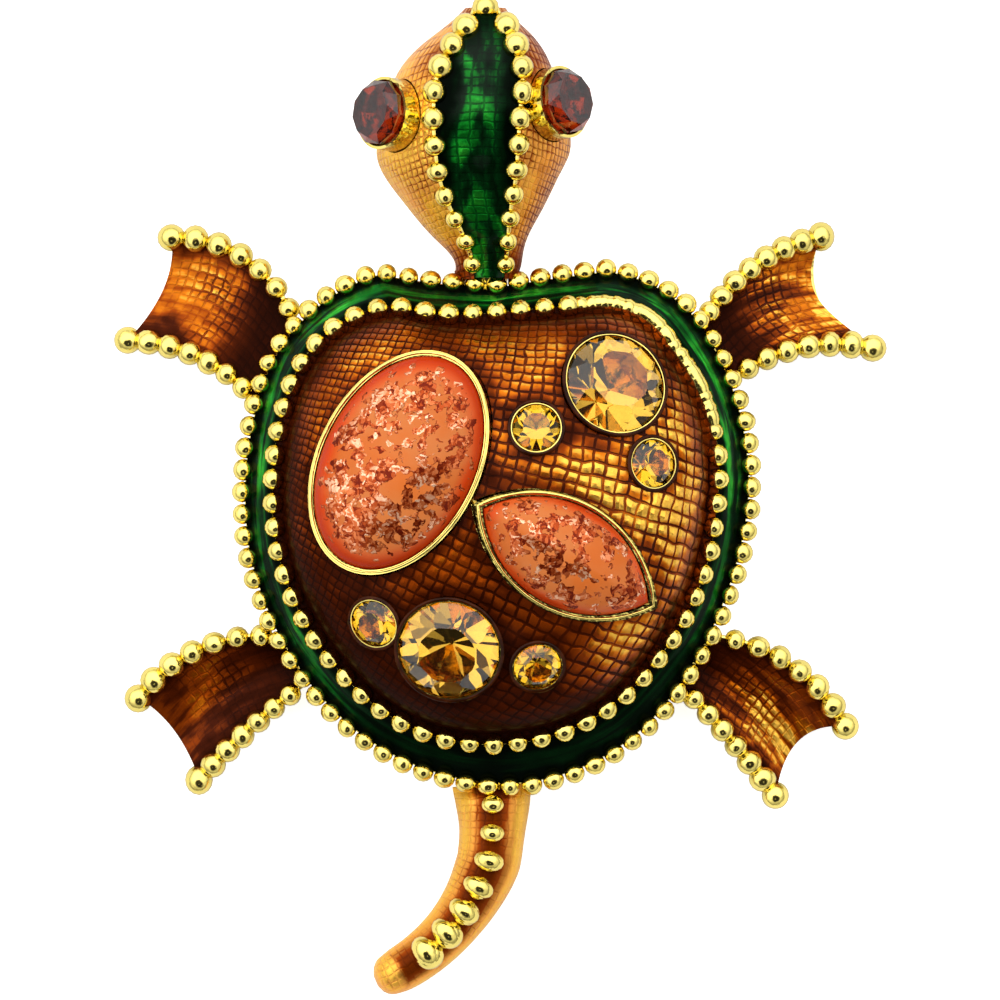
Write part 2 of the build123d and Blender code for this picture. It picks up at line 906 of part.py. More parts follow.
# The casting
with BuildPart() as casting:
    with BuildSketch(Plane.XY.offset(rim_floor)):
        with BuildLine():
            shell_arcs(RIM, grow=-rim_edge)
        make_face()
    extrude(amount=rim_level - rim_floor)
    add(cove(0))
    add(dome(0, ridge_level - sink))
    add(head.part)
    add(tail.part)
    for name in FLIPPERS:
        add(flipper(name))
    add(hollow(), mode=Mode.SUBTRACT)
    for side in (-1, 1):
        add(pin_lug(side))
    for name, plane in chaton_planes.items():
        radius = CHATONS[name][RADIUS]
        add(round_setting(plane, radius, pavilion_share * radius, setting_wall, setting_rise))
    for outline, plane in cabochons.values():
        low = -cabochon_base - bezel_floor
        add(bar(outline, plane, stone_gap + bezel_wall, low, bezel_lip))
    add(bead_ring(rim_planes, rim_bead_radius))
    add(bead_ring(ridge_planes, ridge_bead_radius))
    for name, plane in chaton_planes.items():
        radius = CHATONS[name][RADIUS]
        add(round_seat(plane, radius, pavilion_share * radius, seat_rise), mode=Mode.SUBTRACT)
    for outline, plane in cabochons.values():
        low = -cabochon_base - stone_gap
        add(bar(outline, plane, stone_gap, low, seat_rise), mode=Mode.SUBTRACT)
    for name in EYES:
        plane = eye_plane(name)
        add(round_seat(plane, eye_radius, eye_pavilion, seat_rise), mode=Mode.SUBTRACT)
casting.part.label = "casting"
export_step(casting.part, "parts/casting.step")

# The enamel of the shell, cut clear of the settings
with BuildPart() as shell_enamel:
    add(dome(enamel_gap + enamel_depth, ridge_level + enamel_gap))
    add(dome(enamel_gap, ridge_level - sink), mode=Mode.SUBTRACT)
    for name, plane in chaton_planes.items():
        radius = CHATONS[name][RADIUS]
        room = round_setting(
            plane, radius, pavilion_share * radius, setting_wall, seat_rise, enamel_gap
        )
        add(room, mode=Mode.SUBTRACT)
    for outline, plane in cabochons.values():
        low = -cabochon_base - bezel_floor
        room = bar(outline, plane, stone_gap + bezel_wall + enamel_gap, low, seat_rise)
        add(room, mode=Mode.SUBTRACT)
shell_enamel.part.label = "shell_enamel"
export_step(shell_enamel.part, "parts/shell_enamel.step")

# The enamel band between the rims, cut clear of their beads and of the neck
with BuildPart() as rim_enamel:
    add(cove(enamel_gap + band_depth))
    add(cove(enamel_gap), mode=Mode.SUBTRACT)
    add(head_form(enamel_depth), mode=Mode.SUBTRACT)
    with Locations((0, 0, band_low)):
        Box(
            4 * shell_half_width,
            4 * shell_half_width,
            band_high - band_low,
            align=(Align.CENTER, Align.CENTER, Align.MIN),
            mode=Mode.INTERSECT,
        )
rim_enamel.part.label = "rim_enamel"
export_step(rim_enamel.part, "parts/rim_enamel.step")

# The enamel of the head, in three pieces between and beside its bead rows
with BuildPart() as head_crown_enamel:
    add(crown_skin())
    for side in (-1, 1):
        add(head_bead_row(side, side, bead_gap), mode=Mode.SUBTRACT)
    add(nose_bead(bead_gap), mode=Mode.SUBTRACT)
head_crown_enamel.part.label = "head_crown_enamel"
export_step(head_crown_enamel.part, "parts/head_crown_enamel.step")
for side, name, eye in (
    (-1, "head_enamel_left", "eye_stone_left"),
    (1, "head_enamel_right", "eye_stone_right"),
):
    plane = eye_plane(eye)
    with BuildPart() as head_enamel:
        add(side_skin(side))
        add(head_bead_row(side, -side, bead_gap), mode=Mode.SUBTRACT)
        add(nose_bead(bead_gap), mode=Mode.SUBTRACT)
        add(
            round_setting(plane, eye_radius, eye_pavilion, eye_wall, seat_rise, enamel_gap),
            mode=Mode.SUBTRACT,
        )
        add(eye_post(eye, enamel_gap), mode=Mode.SUBTRACT)
        # crumbs left between the beads and the eye's cup drop off
        add(head_enamel.solids().sort_by(SortBy.VOLUME)[-1], mode=Mode.REPLACE)
    head_enamel.part.label = name
    export_step(head_enamel.part, "parts/" + name + ".step")

# The enamel of the flippers
for name in FLIPPERS:
    with BuildPart() as flipper_enamel:
        add(flipper_fill(name))
    flipper_enamel.part.label = "flipper_enamel_" + name
    export_step(flipper_enamel.part, "parts/flipper_enamel_" + name + ".step")

# The enamel of the tail
with BuildPart() as tail_enamel:
    add(tail_skin())
    add(tail_bead_row(bead_gap), mode=Mode.SUBTRACT)
tail_enamel.part.label = "tail_enamel"
export_step(tail_enamel.part, "parts/tail_enamel.step")

# The smooth stones
for name, (outline, plane) in cabochons.items():
    with BuildPart() as smooth_stone:
        add(cabochon(outline, plane))
    smooth_stone.part.label = name
    export_step(smooth_stone.part, "parts/" + name + ".step")

# The faceted stones of the shell and the eyes
for name, plane in chaton_planes.items():
    radius = CHATONS[name][RADIUS]
    with BuildPart() as chaton:
        add(
            cut_stone(
                plane, radius, crown_share * radius, pavilion_share * radius, table_share * radius
            )
        )
    chaton.part.label = name
    export_step(chaton.part, "parts/" + name + ".step")
for name in EYES:
    with BuildPart() as eye:
        add(
            cut_stone(
                eye_plane(name), eye_radius, eye_crown, eye_pavilion, eye_table_share * eye_radius
            )
        )
    eye.part.label = name
    export_step(eye.part, "parts/" + name + ".step")

# The pin back: a bar with two posts, their barrels and the pointed stem between them
with BuildPart() as pin_back:
    with Locations((shell_x, pin_y, pin_bar_top)):
        Box(
            pin_bar_length,
            pin_bar_width,
            pin_bar_thickness,
            align=(Align.CENTER, Align.CENTER, Align.MAX),
        )
    for side in (-1, 1):
        with Locations((shell_x + side * pin_barrel_reach, pin_y, pin_barrel_radius)):
            Box(
                pin_post_width,
                pin_barrel_length,
                pin_bar_top - pin_bar_thickness - pin_barrel_radius + sink,
                align=(Align.CENTER, Align.CENTER, Align.MIN),
            )
            Cylinder(pin_barrel_radius, pin_barrel_length, rotation=(90, 0, 0))
    with BuildSketch(Plane.YZ.offset(shell_x - pin_barrel_reach)):
        with Locations((pin_y, pin_barrel_radius)):
            Circle(pin_stem_radius)
    extrude(amount=pin_stem_length - pin_point)
    with BuildSketch(Plane.YZ.offset(shell_x - pin_barrel_reach + pin_stem_length)) as stem_tip:
        with Locations((pin_y, pin_barrel_radius)):
            Circle(pin_tip_radius)
    with BuildSketch(
        Plane.YZ.offset(shell_x - pin_barrel_reach + pin_stem_length - pin_point)
    ) as stem_neck:
        with Locations((pin_y, pin_barrel_radius)):
            Circle(pin_stem_radius)
    loft([stem_neck.sketch, stem_tip.sketch], ruled=True)
pin_back.part.label = "pin_back"
export_step(pin_back.part, "parts/pin_back.step")
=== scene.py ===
from math import atan2, cos, pi, radians, sin

import bmesh
import bpy
from mathutils import Matrix, Vector, noise


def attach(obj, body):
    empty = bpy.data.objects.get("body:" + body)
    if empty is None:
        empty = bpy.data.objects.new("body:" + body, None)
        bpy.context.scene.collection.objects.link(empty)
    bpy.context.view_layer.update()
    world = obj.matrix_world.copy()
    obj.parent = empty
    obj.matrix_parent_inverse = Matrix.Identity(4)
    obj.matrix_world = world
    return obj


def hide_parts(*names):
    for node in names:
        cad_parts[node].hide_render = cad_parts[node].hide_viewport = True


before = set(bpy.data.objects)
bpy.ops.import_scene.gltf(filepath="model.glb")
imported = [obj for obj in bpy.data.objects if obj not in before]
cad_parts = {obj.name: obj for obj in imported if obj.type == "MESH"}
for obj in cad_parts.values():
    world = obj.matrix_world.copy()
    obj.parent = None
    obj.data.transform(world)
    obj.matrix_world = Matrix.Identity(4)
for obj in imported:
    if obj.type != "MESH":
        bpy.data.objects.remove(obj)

bl_info = {
    "name": "Turtle brooch",
    "version": (1, 0, 0),
    "blender": (4, 5, 0),
    "location": "View3D > Sidebar > Brooch",
    "description": "Dresses the packed turtle brooch and sets its studio",
    "category": "Object",
}

# Outline of the shell. Columns: angle from +X in degrees, then the reach of the line of outer beads
# and of the line of inner beads, as shares of the shell's half width.
RIM, RIDGE = 1, 2
SHELL_OUTLINE = (
    (90, 0.950, 0.840),
    (102, 0.985, 0.852),
    (115, 1.105, 0.957),
    (130, 1.126, 1.008),
    (145, 1.100, 0.980),
    (165, 1.026, 0.904),
    (185, 0.986, 0.862),
    (206, 0.962, 0.836),
    (225, 0.969, 0.832),
    (250, 0.996, 0.850),
    (275, 1.018, 0.844),
    (300, 0.995, 0.832),
    (320, 0.954, 0.811),
    (343, 0.949, 0.824),
    (365, 1.000, 0.860),
    (387, 1.071, 0.941),
    (406, 1.142, 0.990),
    (417, 1.142, 1.009),
    (427, 1.100, 0.949),
    (438, 1.006, 0.876),
)

# Sections of the head. Columns: how far along, as a share of the head's length; its middle and its
# crown's middle and its half width, as shares of the head's half width; the crown's half width, as a
# share of the crown's own; the height, as a share of the head's.
ALONG, MIDDLE, CROWN_MIDDLE, HALF_WIDTH, CROWN_HALF, HEIGHT = range(6)
HEAD_SECTIONS = (
    (0.03, 0.12, 0.15, 0.33, 0.36, 0.42),
    (0.10, 0.12, 0.14, 0.38, 0.42, 0.51),
    (0.17, 0.05, 0.11, 0.51, 0.53, 0.63),
    (0.26, 0.01, 0.06, 0.69, 0.70, 0.75),
    (0.36, -0.03, 0.03, 0.87, 0.87, 0.87),
    (0.46, -0.02, 0.02, 1.00, 0.95, 0.96),
    (0.60, 0.00, 0.02, 0.95, 1.00, 1.00),
    (0.73, 0.00, 0.05, 0.84, 0.99, 0.96),
    (0.83, 0.04, 0.09, 0.68, 0.80, 0.84),
    (0.91, 0.09, 0.12, 0.45, 0.50, 0.68),
    (0.99, 0.11, 0.11, 0.20, 0.25, 0.50),
)

# Plan of the flippers. Each has its span in metres, then its two long edges: direction from the
# shell's middle in degrees and reach, at the root, the middle and the tip, and how many beads it
# has. Then come the depth of its hollow outer edge in metres, and how the light falls: the half
# width that is lit, where along it the light starts and is full, how bright that is, and how streaky.
FLIPPERS = {
    "front_left": (
        0.02785,
        (137.0, 1.06, 133.4, 0.86, 138.3, 1.00, 7),
        (153.4, 1.02, 150.3, 0.80, 153.1, 0.950, 7),
        0.0007,
        (0.0040, 0.0019, 0.0056, 0.80, 0.35),
    ),
    "front_right": (
        0.02785,
        (31.9, 1.04, 30.4, 0.82, 25.5, 0.956, 7),
        (43.2, 1.06, 45.4, 0.84, 41.9, 1.00, 8),
        0.0018,
        (0.0044, 0.0015, 0.0056, 1.6, 0.6),
    ),
    "rear_left": (
        0.0254,
        (209.4, 0.90, 202.6, 0.86, 205.5, 1.00, 7),
        (219.2, 0.92, 219.2, 0.82, 220.3, 0.983, 7),
        0.0005,
        (0.0034, -0.0005, 0.0070, 0.8, 0.6),
    ),
    "rear_right": (
        0.0254,
        (319.9, 0.90, 317.7, 0.81, 316.1, 0.973, 7),
        (331.9, 0.90, 335.0, 0.81, 330.3, 1.01, 7),
        0.0013,
        (0.0036, -0.0005, 0.0062, 1.2, 0.7),
    ),
}

# Line of the tail, as two arcs. Columns: across and down, as shares of the tail's length. Then its
# sections: how far along, the half width and the height, as shares of the tail's own.
TAIL_LINE = (
    (-0.036, 0.00),
    (-0.018, 0.24),
    (-0.036, 0.455),
    (-0.139, 0.668),
    (-0.555, 1.010),
)
TAIL_SECTIONS = (
    (0.08, 1.10, 0.50),
    (0.14, 1.05, 0.84),
    (0.26, 0.92, 0.95),
    (0.40, 0.87, 1.00),
    (0.53, 0.75, 1.00),
    (0.66, 0.65, 0.98),
    (0.79, 0.60, 0.94),
    (0.90, 0.58, 0.86),
    (0.96, 0.50, 0.72),
    (0.985, 0.36, 0.52),
    (0.998, 0.12, 0.26),
)

# Smooth stones. Columns: across and along from the shell's middle, as shares of its half width, the
# turn in degrees, the half length and the half width in metres, and whether its ends are pointed.
SMOOTH_STONES = {
    "oval": (-0.378, 0.252, 62.0, 0.0072, 0.0049, False),
    "marquise": (0.266, -0.108, -29.6, 0.0061, 0.00325, True),
}

# Faceted stones. Columns: across and along from the shell's middle, as shares of its half width, and
# the radius in metres.
FACETED_STONES = (
    (0.451, 0.551, 0.0032),
    (-0.181, -0.465, 0.0032),
    (0.154, 0.382, 0.0015),
    (0.594, 0.248, 0.0015),
    (-0.465, -0.362, 0.0015),
    (0.154, -0.528, 0.0015),
)

# The same stones in the columns of the smooth ones.
ROUND_STONES = [(*place, 0.0, radius, radius, False) for *place, radius in FACETED_STONES]

# The eyes. Columns: the middle in metres, then the lean from upright and its direction in degrees.
EYES = {
    "left": ((-0.007573, 0.024248, 0.0066), 48.0, 172.0),
    "right": ((0.003927, 0.024952, 0.0066), 50.0, 12.0),
}

# Where the pieces lie and how large they are, in metres. The shell's middle, the levels of its inner
# beads, and its dome.
SHELL_X = -0.0003
SHELL_Y = -0.0021
RIDGE_LEVEL = 0.0054
RIDGE_BEAD_LEVEL = 0.0056
DOME_RISE = 0.0063
DOME_FULLNESS = 2.3
DOME_INSET = 0.0012

# The head, and the crown that runs along it.
HEAD_X = -0.0017
HEAD_Y = 0.0136
HEAD_LENGTH = 0.0176
HEAD_HALF = 0.00615
CROWN_HALF_WIDTH = 0.00275
HEAD_FLOOR = 0.0024
HEAD_HEIGHT = 0.006
CROWN_DROP = 0.0003
NECK_DROP = 0.0012

# The levels of the flippers at their roots and tips, and the depth of their troughs. Then the tail.
FLIPPER_ROOT = 0.0035
FLIPPER_TIP = 0.0011
TROUGH = 0.0005
TAIL_Y = -0.017
TAIL_LENGTH = 0.014
TAIL_HALF = 0.0023
TAIL_HEIGHT = 0.0024
TAIL_ROOT_FLOOR = 0.0024
TAIL_TIP_FLOOR = 0.0005

# Beads of the shell. Columns: name, column of the outline, level, how many, and the radius.
SHELL_BEADS = (
    ("rim_beads", RIM, 0.0040, 75, 0.00068),
    ("ridge_beads", RIDGE, 0.0059, 60, 0.0007),
)

# Beads of the other rows: how many, where that isn't in a table above, and the radii at the two ends.
# Then the radius of the bead on the nose, and the seed of all the beads' unevenness.
HEAD_BEADS = (11, 0.0006, 0.00089)
TAIL_BEADS = (7, 0.00078, 0.00108)
FLIPPER_BEADS = (0.0007, 0.0009)
NOSE_BEAD = 0.00086
BEAD_SEED = 1

# Where the ridge of inner beads is worn smooth, as shares of its line. Then the half thickness and
# the points of the bar that is left there.
WORN_START = 0.795
WORN_END = 0.945
WORN_RADIUS = 0.00056
WORN_POINTS = 61

# The height of the smooth stones above their girdles. Then the sides, the radius and the facets of
# the eyes. Columns of a facet row: the way it faces, how far it reaches, and how wide it ends.
CABOCHON_RISE = 0.0024
EYE_SIDES = 10
EYE_RADIUS = 0.0021
EYE_FACETS = ((1, 0.0006, 0.78), (1, 0.0003, 0.66), (-1, 0.0012, 0.55))

# The thin uneven rings round the stones. Columns: how far above the dome and outside the stone, how
# many points, the half thickness, how uneven it is, and how finely.
BEZEL = (0.00036, 0.0002, 120, 0.00013, 0.00007, 700)
# The collars are dark rings of painted shadow.
COLLAR = (0.00054, 0.00021, 72, 0.00013, 0.00002, 900)

# The pool inside the inner beads: how far outside their line it starts and ends, its level and its
# rise, and the levels below it. Then the green band: its levels at the outer and at the inner beads,
# how far it sags between them, and the levels below it.
POOL_START = 0.00004
POOL_END = -0.00105
POOL_LEVEL = 0.00568
POOL_RISE = 0.0016
POOL_FLOOR = (0.0056, 0.0055)
BAND_LOW = 0.00395
BAND_HIGH = 0.0058
BAND_SAG = 0.0001
BAND_FLOOR = (0.0055, 0.00362)

# Where along their line things start and end, as shares: the edges of the crown, its enamel, the
# enamel of the neck and of the tail, and the beads of the tail and of the flippers.
BROW_SPAN = (0.03, 0.99)
CROWN_SPAN = (0.012, 0.96)
NECK_SPAN = (0.008, 0.038)
TAIL_SPAN = (0.085, 0.998)
TAIL_BEAD_SPAN = (0.16, 0.78)
FLIPPER_BEAD_SPAN = (0.2, 1.0)

# The surface of the enamel in the flippers above their metal, and its gap from their outer edge.
FILL_RISE = 0.00034
FILL_GAP = 0.0001

# How many steps an arc of the shell's outline has, and how many points the lines of the head, of the
# flippers and of the tail.
ARC_STEPS = 14
HEAD_POINTS = 61
EDGE_POINTS = 25
TAIL_POINTS = 81

# Painted shade: how much darker the gold is painted where it is seen edge on.
EDGE_SHADE_GOLD = (0.42, 0.30, 0.12)

# The camera's place in metres, and the width that it takes in at a level of the brooch.
CAMERA_PLACE = (-0.000095, -0.00035, 0.9)
PICTURE_LEVEL = 0.006
PICTURE_WIDTH = 0.0636


class BroochSettings(bpy.types.PropertyGroup):
    """Sizes and colours of the brooch."""

    half_width: bpy.props.FloatProperty(
        name="Shell half width", description="Half the width that the outlines are shares of",
        default=0.01625, precision=5, unit="LENGTH",
    )
    rail: bpy.props.FloatProperty(
        name="Rail radius", description="Half the thickness of the gold rails that the beads stand on",
        default=0.00015, precision=5, unit="LENGTH",
    )
    skin: bpy.props.FloatProperty(
        name="Enamel thickness", description="Thickness of the enamel skins",
        default=0.0004, precision=5, unit="LENGTH",
    )
    hatch: bpy.props.FloatProperty(
        name="Hatch pitch", description="Distance between the grooves cut below the amber enamel",
        default=0.00078, precision=5, unit="LENGTH",
    )
    gold: bpy.props.FloatVectorProperty(
        name="Gold", description="Colour of the gilt metal",
        subtype="COLOR", default=(0.95, 0.77, 0.20),
    )
    amber: bpy.props.FloatVectorProperty(
        name="Amber", description="Colour of the amber enamel where it is brightest",
        subtype="COLOR", default=(0.56, 0.145, 0.004),
    )
    apricot: bpy.props.FloatVectorProperty(
        name="Apricot", description="Colour of the amber enamel of the head and the tail",
        subtype="COLOR", default=(0.88, 0.36, 0.055),
    )
    # Painted shadow: the colour of the dark rings round the faceted stones.
    pooled: bpy.props.FloatVectorProperty(
        name="Stone shadow", description="Colour of the amber enamel that has pooled round the stones",
        subtype="COLOR", default=(0.06, 0.012, 0.002),
    )
    green: bpy.props.FloatVectorProperty(
        name="Green", description="Colour of the green enamel where it is brightest",
        subtype="COLOR", default=(0.004, 0.16, 0.012),
    )
    salmon: bpy.props.FloatVectorProperty(
        name="Salmon", description="Colour of the two smooth stones",
        subtype="COLOR", default=(0.60, 0.135, 0.022),
    )
    champagne: bpy.props.FloatVectorProperty(
        name="Champagne", description="Colour of the large faceted stones",
        subtype="COLOR", default=(0.73, 0.41, 0.045),
    )
    honey: bpy.props.FloatVectorProperty(
        name="Honey", description="Colour of the small faceted stones",
        subtype="COLOR", default=(0.77, 0.43, 0.02),
    )
    smoke: bpy.props.FloatVectorProperty(
        name="Smoke", description="Colour of the eyes",
        subtype="COLOR", default=(0.22, 0.018, 0.004),
    )


class Wire:
    """An output of a shader node, which can be reckoned with like a number."""

    def __init__(self, node, key=0):
        self.node = node
        self.tree = node.id_data
        self.socket = node.outputs[key]

    def __getitem__(self, key):
        return Wire(self.node, key)

    def __add__(self, other):
        return calc("ADD", self, other)

    def __radd__(self, other):
        return calc("ADD", other, self)

    def __sub__(self, other):
        return calc("SUBTRACT", self, other)

    def __rsub__(self, other):
        return calc("SUBTRACT", other, self)

    def __mul__(self, other):
        return calc("MULTIPLY", self, other)

    def __rmul__(self, other):
        return calc("MULTIPLY", other, self)

    def __truediv__(self, other):
        return calc("DIVIDE", self, other)

    def __rtruediv__(self, other):
        return calc("DIVIDE", other, self)


def feed(node, ins):
    """Sets or links the inputs of a node."""
    for key, value in ins.items():
        if isinstance(value, Wire):
            value.tree.links.new(value.socket, node.inputs[key])
        else:
            node.inputs[key].default_value = value


def put(kind, ins, tree=None, **props):
    """The first output of a new node. Its tree is that of the wires it is fed, unless one is given."""
    tree = tree or next(value.tree for value in ins.values() if isinstance(value, Wire))
    node = tree.nodes.new(kind)
    for name, value in props.items():
        setattr(node, name, value)
    feed(node, ins)
    return Wire(node)


def calc(operation, *terms):
    """The output of a math node."""
    return put("ShaderNodeMath", dict(enumerate(terms)), operation=operation)


def vector_calc(operation, *terms, **ins):
    """The output of a vector math node."""
    return put("ShaderNodeVectorMath", {**dict(enumerate(terms)), **ins}, operation=operation)


def axes(vector):
    """The three parts of a vector."""
    return put("ShaderNodeSeparateXYZ", {0: vector})


def grain(vector, scale, detail=2.0, **ins):
    """The outputs of a noise texture."""
    return put("ShaderNodeTexNoise", {"Vector": vector, "Scale": scale, "Detail": detail, **ins})


def mapped(vector, kind="POINT", **ins):
    """A vector scaled, turned and moved, or read in the frame of a piece."""
    return put("ShaderNodeMapping", {"Vector": vector, **ins}, vector_type=kind)


def emboss(shader, height, strength, distance):
    """Gives a material its relief."""
    bump = put("ShaderNodeBump", {"Height": height, "Strength": strength, "Distance": distance})
    feed(shader, {"Normal": bump["Normal"]})


def steps(value, low, high, first=0.0, last=1.0):
    """A value moved smoothly from one range to another."""
    ins = {"Value": value, "From Min": low, "From Max": high, "To Min": first, "To Max": last}
    return put("ShaderNodeMapRange", ins, interpolation_type="SMOOTHSTEP")


def ramp(value, *stops):
    """The colour of a ramp with these stops."""
    colour = put("ShaderNodeValToRGB", {"Fac": value})
    band = colour.node.color_ramp.elements
    band.remove(band[1])
    band[0].position = stops[0][0]
    band[0].color = (*stops[0][1], 1)
    for place, stop in stops[1:]:
        band.new(place).color = (*stop, 1)
    return colour


def mixed(factor, first, second):
    """Two colours mixed by a factor."""
    return put("ShaderNodeMix", {0: factor, 6: first, 7: second}, data_type="RGBA")[2]


def shade(colour, share):
    """A colour made darker."""
    return tuple(part * share for part in colour)


def new_group(name, inputs, outputs):
    """An empty shader node group with these named sockets."""
    tree = bpy.data.node_groups.new(name, "ShaderNodeTree")
    for label, kind, value in inputs:
        socket = tree.interface.new_socket(label, in_out="INPUT", socket_type=kind)
        if value is not None:
            socket.default_value = value
    for label in outputs:
        tree.interface.new_socket(label, in_out="OUTPUT", socket_type="NodeSocketFloat")
    return tree, Wire(tree.nodes.new("NodeGroupInput")), tree.nodes.new("NodeGroupOutput")


def hatch_group():
    """Square cells between two sets of grooves, each cell with a tone of its own."""
    inputs = (
        ("Vector", "NodeSocketVector", None),
        ("Pitch", "NodeSocketFloat", 0.00083),
        ("Groove", "NodeSocketFloat", 0.16),
        ("Waver", "NodeSocketFloat", 0.12),
    )
    tree, given, result = new_group("Cross_hatch", inputs, ("Cell", "Tone", "Slope", "Height"))
    cells = vector_calc("SCALE", given["Vector"], Scale=1.0 / given["Pitch"])
    centred = vector_calc("SUBTRACT", grain(cells, 0.55)["Color"], (0.5, 0.5, 0.5))
    place = vector_calc("ADD", cells, vector_calc("SCALE", centred, Scale=given["Waver"] * 6.0))
    parts = axes(place)
    edges = []
    for axis in (0, 1):
        part = calc("FRACT", parts[axis])
        edges.append(calc("MINIMUM", part, 1.0 - part))
    soft = given["Groove"] + 0.09
    walls = [steps(edge, given["Groove"], soft) for edge in edges]
    cell = walls[0] * walls[1]
    floor = vector_calc("FLOOR", place)
    tone = put("ShaderNodeTexWhiteNoise", {"Vector": floor}, noise_dimensions="2D")["Value"]
    height = cell * 0.7 + edges[0] * edges[1] * 1.6
    feed(result, {"Cell": cell, "Tone": tone, "Slope": part, "Height": height})
    return tree


def cloud_group():
    """Soft uneven patches."""
    inputs = (
        ("Vector", "NodeSocketVector", None),
        ("Size", "NodeSocketFloat", 0.004),
        ("Low", "NodeSocketFloat", 0.0),
        ("High", "NodeSocketFloat", 1.0),
    )
    tree, given, result = new_group("Cloud", inputs, ("Value",))
    patches = grain(given["Vector"], 1.0 / given["Size"], 4.0, Roughness=0.55)["Fac"]
    feed(result, {"Value": steps(patches, 0.35, 0.65, given["Low"], given["High"])})
    return tree


def use(name, **ins):
    """The outputs of a shared node group placed in a material, with its inputs set or linked."""
    if name not in bpy.data.node_groups:
        {"Cross_hatch": hatch_group, "Cloud": cloud_group}[name]()
    return put("ShaderNodeGroup", ins, node_tree=bpy.data.node_groups[name])


def cloud(place, size, low=0.0, high=1.0):
    """Soft uneven patches of a size in metres, between two values."""
    return use("Cloud", Vector=place, Size=size, Low=low, High=high)


def new_material(name, rough=0.3, coat=0.0, metallic=0.0):
    """A material with its shader, ready for its nodes."""
    material = bpy.data.materials.new(name)
    material.use_nodes = True
    tree = material.node_tree
    shader = tree.nodes["Principled BSDF"]
    feed(shader, {"Roughness": rough, "Metallic": metallic, "Coat Weight": coat})
    feed(shader, {"Coat Roughness": 0.02, "Coat IOR": 1.55})
    return material, tree, shader


def object_place(tree):
    """Where a point of the piece is, in metres."""
    return Wire(tree.nodes.new("ShaderNodeTexCoord"), "Object")


def gold_material(name, colour, rough):
    """Bright gilt metal with the soft unevenness of a casting, and painted shade where it is seen edge
    on.
    """
    material, tree, shader = new_material(name, metallic=1.0)
    place = object_place(tree)
    base = ramp(cloud(place, 0.003), (0.0, shade(colour, 0.86)), (1.0, colour))
    edge = put("ShaderNodeLayerWeight", {"Blend": 0.5}, tree)["Facing"]
    deep = [part * share for part, share in zip(colour, EDGE_SHADE_GOLD)]
    # Painted shade: the gold is made darker towards the edges of what is seen.
    edge_shaded = mixed(steps(edge, 0.55, 0.9), base, (*deep, 1))
    fine = cloud(place, 0.0012, rough * 0.7, rough * 1.4)
    feed(shader, {"Base Color": edge_shaded, "Roughness": fine})
    emboss(shader, grain(place, 900.0, 3.0)["Fac"], 0.35, 0.0003)
    return material


def enamel_gloss(shader, lit, most=0.06):
    """A glossy coat that is weaker where the enamel is painted dark."""
    feed(shader, {"Specular IOR Level": 0.0, "Coat Weight": steps(lit, 0.0, 0.8, 0.02, most)})


def amber_material(name, colour, hatch, light, pitch, depth, blotch=0.3, worn=None):
    """Amber enamel over hatched metal. hatch and light give the pattern's place and the painted light
    and shade.
    """
    material, tree, shader = new_material(name)
    cells = use("Cross_hatch", Vector=hatch(tree), Pitch=pitch, Waver=0.13, Groove=0.055)
    place = object_place(tree)
    patches = cloud(place, 0.0045, 1.0 - blotch, 1.12)
    lit = light(tree)
    fading = calc("MAXIMUM", cloud(place, 0.0028, depth - blotch, depth), 0.05)
    if worn:
        fading = fading * worn(tree)
    # Painted light on each cell: lighter along one side and darker along the other, as on raised tiles
    # lit from one side.
    cell_light = steps(cells["Slope"], 0.1, 0.85, -0.38, 0.38) * fading + 1.0
    tone = cells["Tone"] * (0.28 * depth) + (1.0 - 0.25 * depth)
    lines = (1.0 - cells["Cell"]) * fading
    value = lit * patches * tone * cell_light * (1.0 - lines)
    base = ramp(
        value,
        (0.0, (0.010, 0.0016, 0.0004)),
        (0.2, (0.06, 0.008, 0.0008)),
        (0.45, (0.26, 0.040, 0.0015)),
        (0.75, colour),
        (1.0, (0.93, 0.50, 0.06)),
    )
    feed(shader, {"Base Color": base, "Metallic": steps(value, 0.15, 0.6, 0.1, 0.85)})
    enamel_gloss(shader, lit)
    emboss(shader, lit * fading * cells["Height"], 0.9, 0.00028)
    return material


def green_material(name, colour, light, stretch, ribs):
    """Green enamel over metal, streaked along the piece, with ribs across it where they are cut, and
    painted light.
    """
    material, tree, shader = new_material(name)
    surface = surface_hatch(tree)
    streaks = grain(mapped(surface, Scale=stretch), 1.0, 4.0)["Fac"]
    place = object_place(tree)
    # Painted shade: the green is made darker towards the tail.
    rear = steps(axes(place)[1], -0.019, -0.004, 0.12, 0.9)
    lit = rear * cloud(place, 0.004, 0.5, 1.1) * light(tree)
    squeezed = mapped(surface, Location=(0, 0.0003, 0), Scale=(1, 0.7, 1))
    cells = use("Cross_hatch", Vector=squeezed, Pitch=0.00056, Waver=0.12, Groove=0.05)
    grooved = cells["Cell"] * ribs + (1.0 - ribs)
    value = lit * steps(streaks, 0.39, 0.60, 0.14, 1.0) * grooved
    base = ramp(
        value,
        (0.0, (0.0006, 0.002, 0.0008)),
        (0.3, (0.001, 0.022, 0.004)),
        (0.65, colour),
        (1.0, (0.03, 0.42, 0.03)),
    )
    feed(shader, {"Base Color": base, "Metallic": steps(value, 0.1, 0.7, 0.1, 0.8)})
    enamel_gloss(shader, lit, 0.16)
    relief = cells["Height"] * ribs + streaks * 1.5
    emboss(shader, relief * lit, 0.8, 0.0002)
    return material


def scattered(place, scale):
    """The three random values of each cell of a scatter of chips."""
    chips = put("ShaderNodeTexVoronoi", {"Vector": place, "Scale": scale})["Color"]
    return put("ShaderNodeSeparateColor", {0: chips})


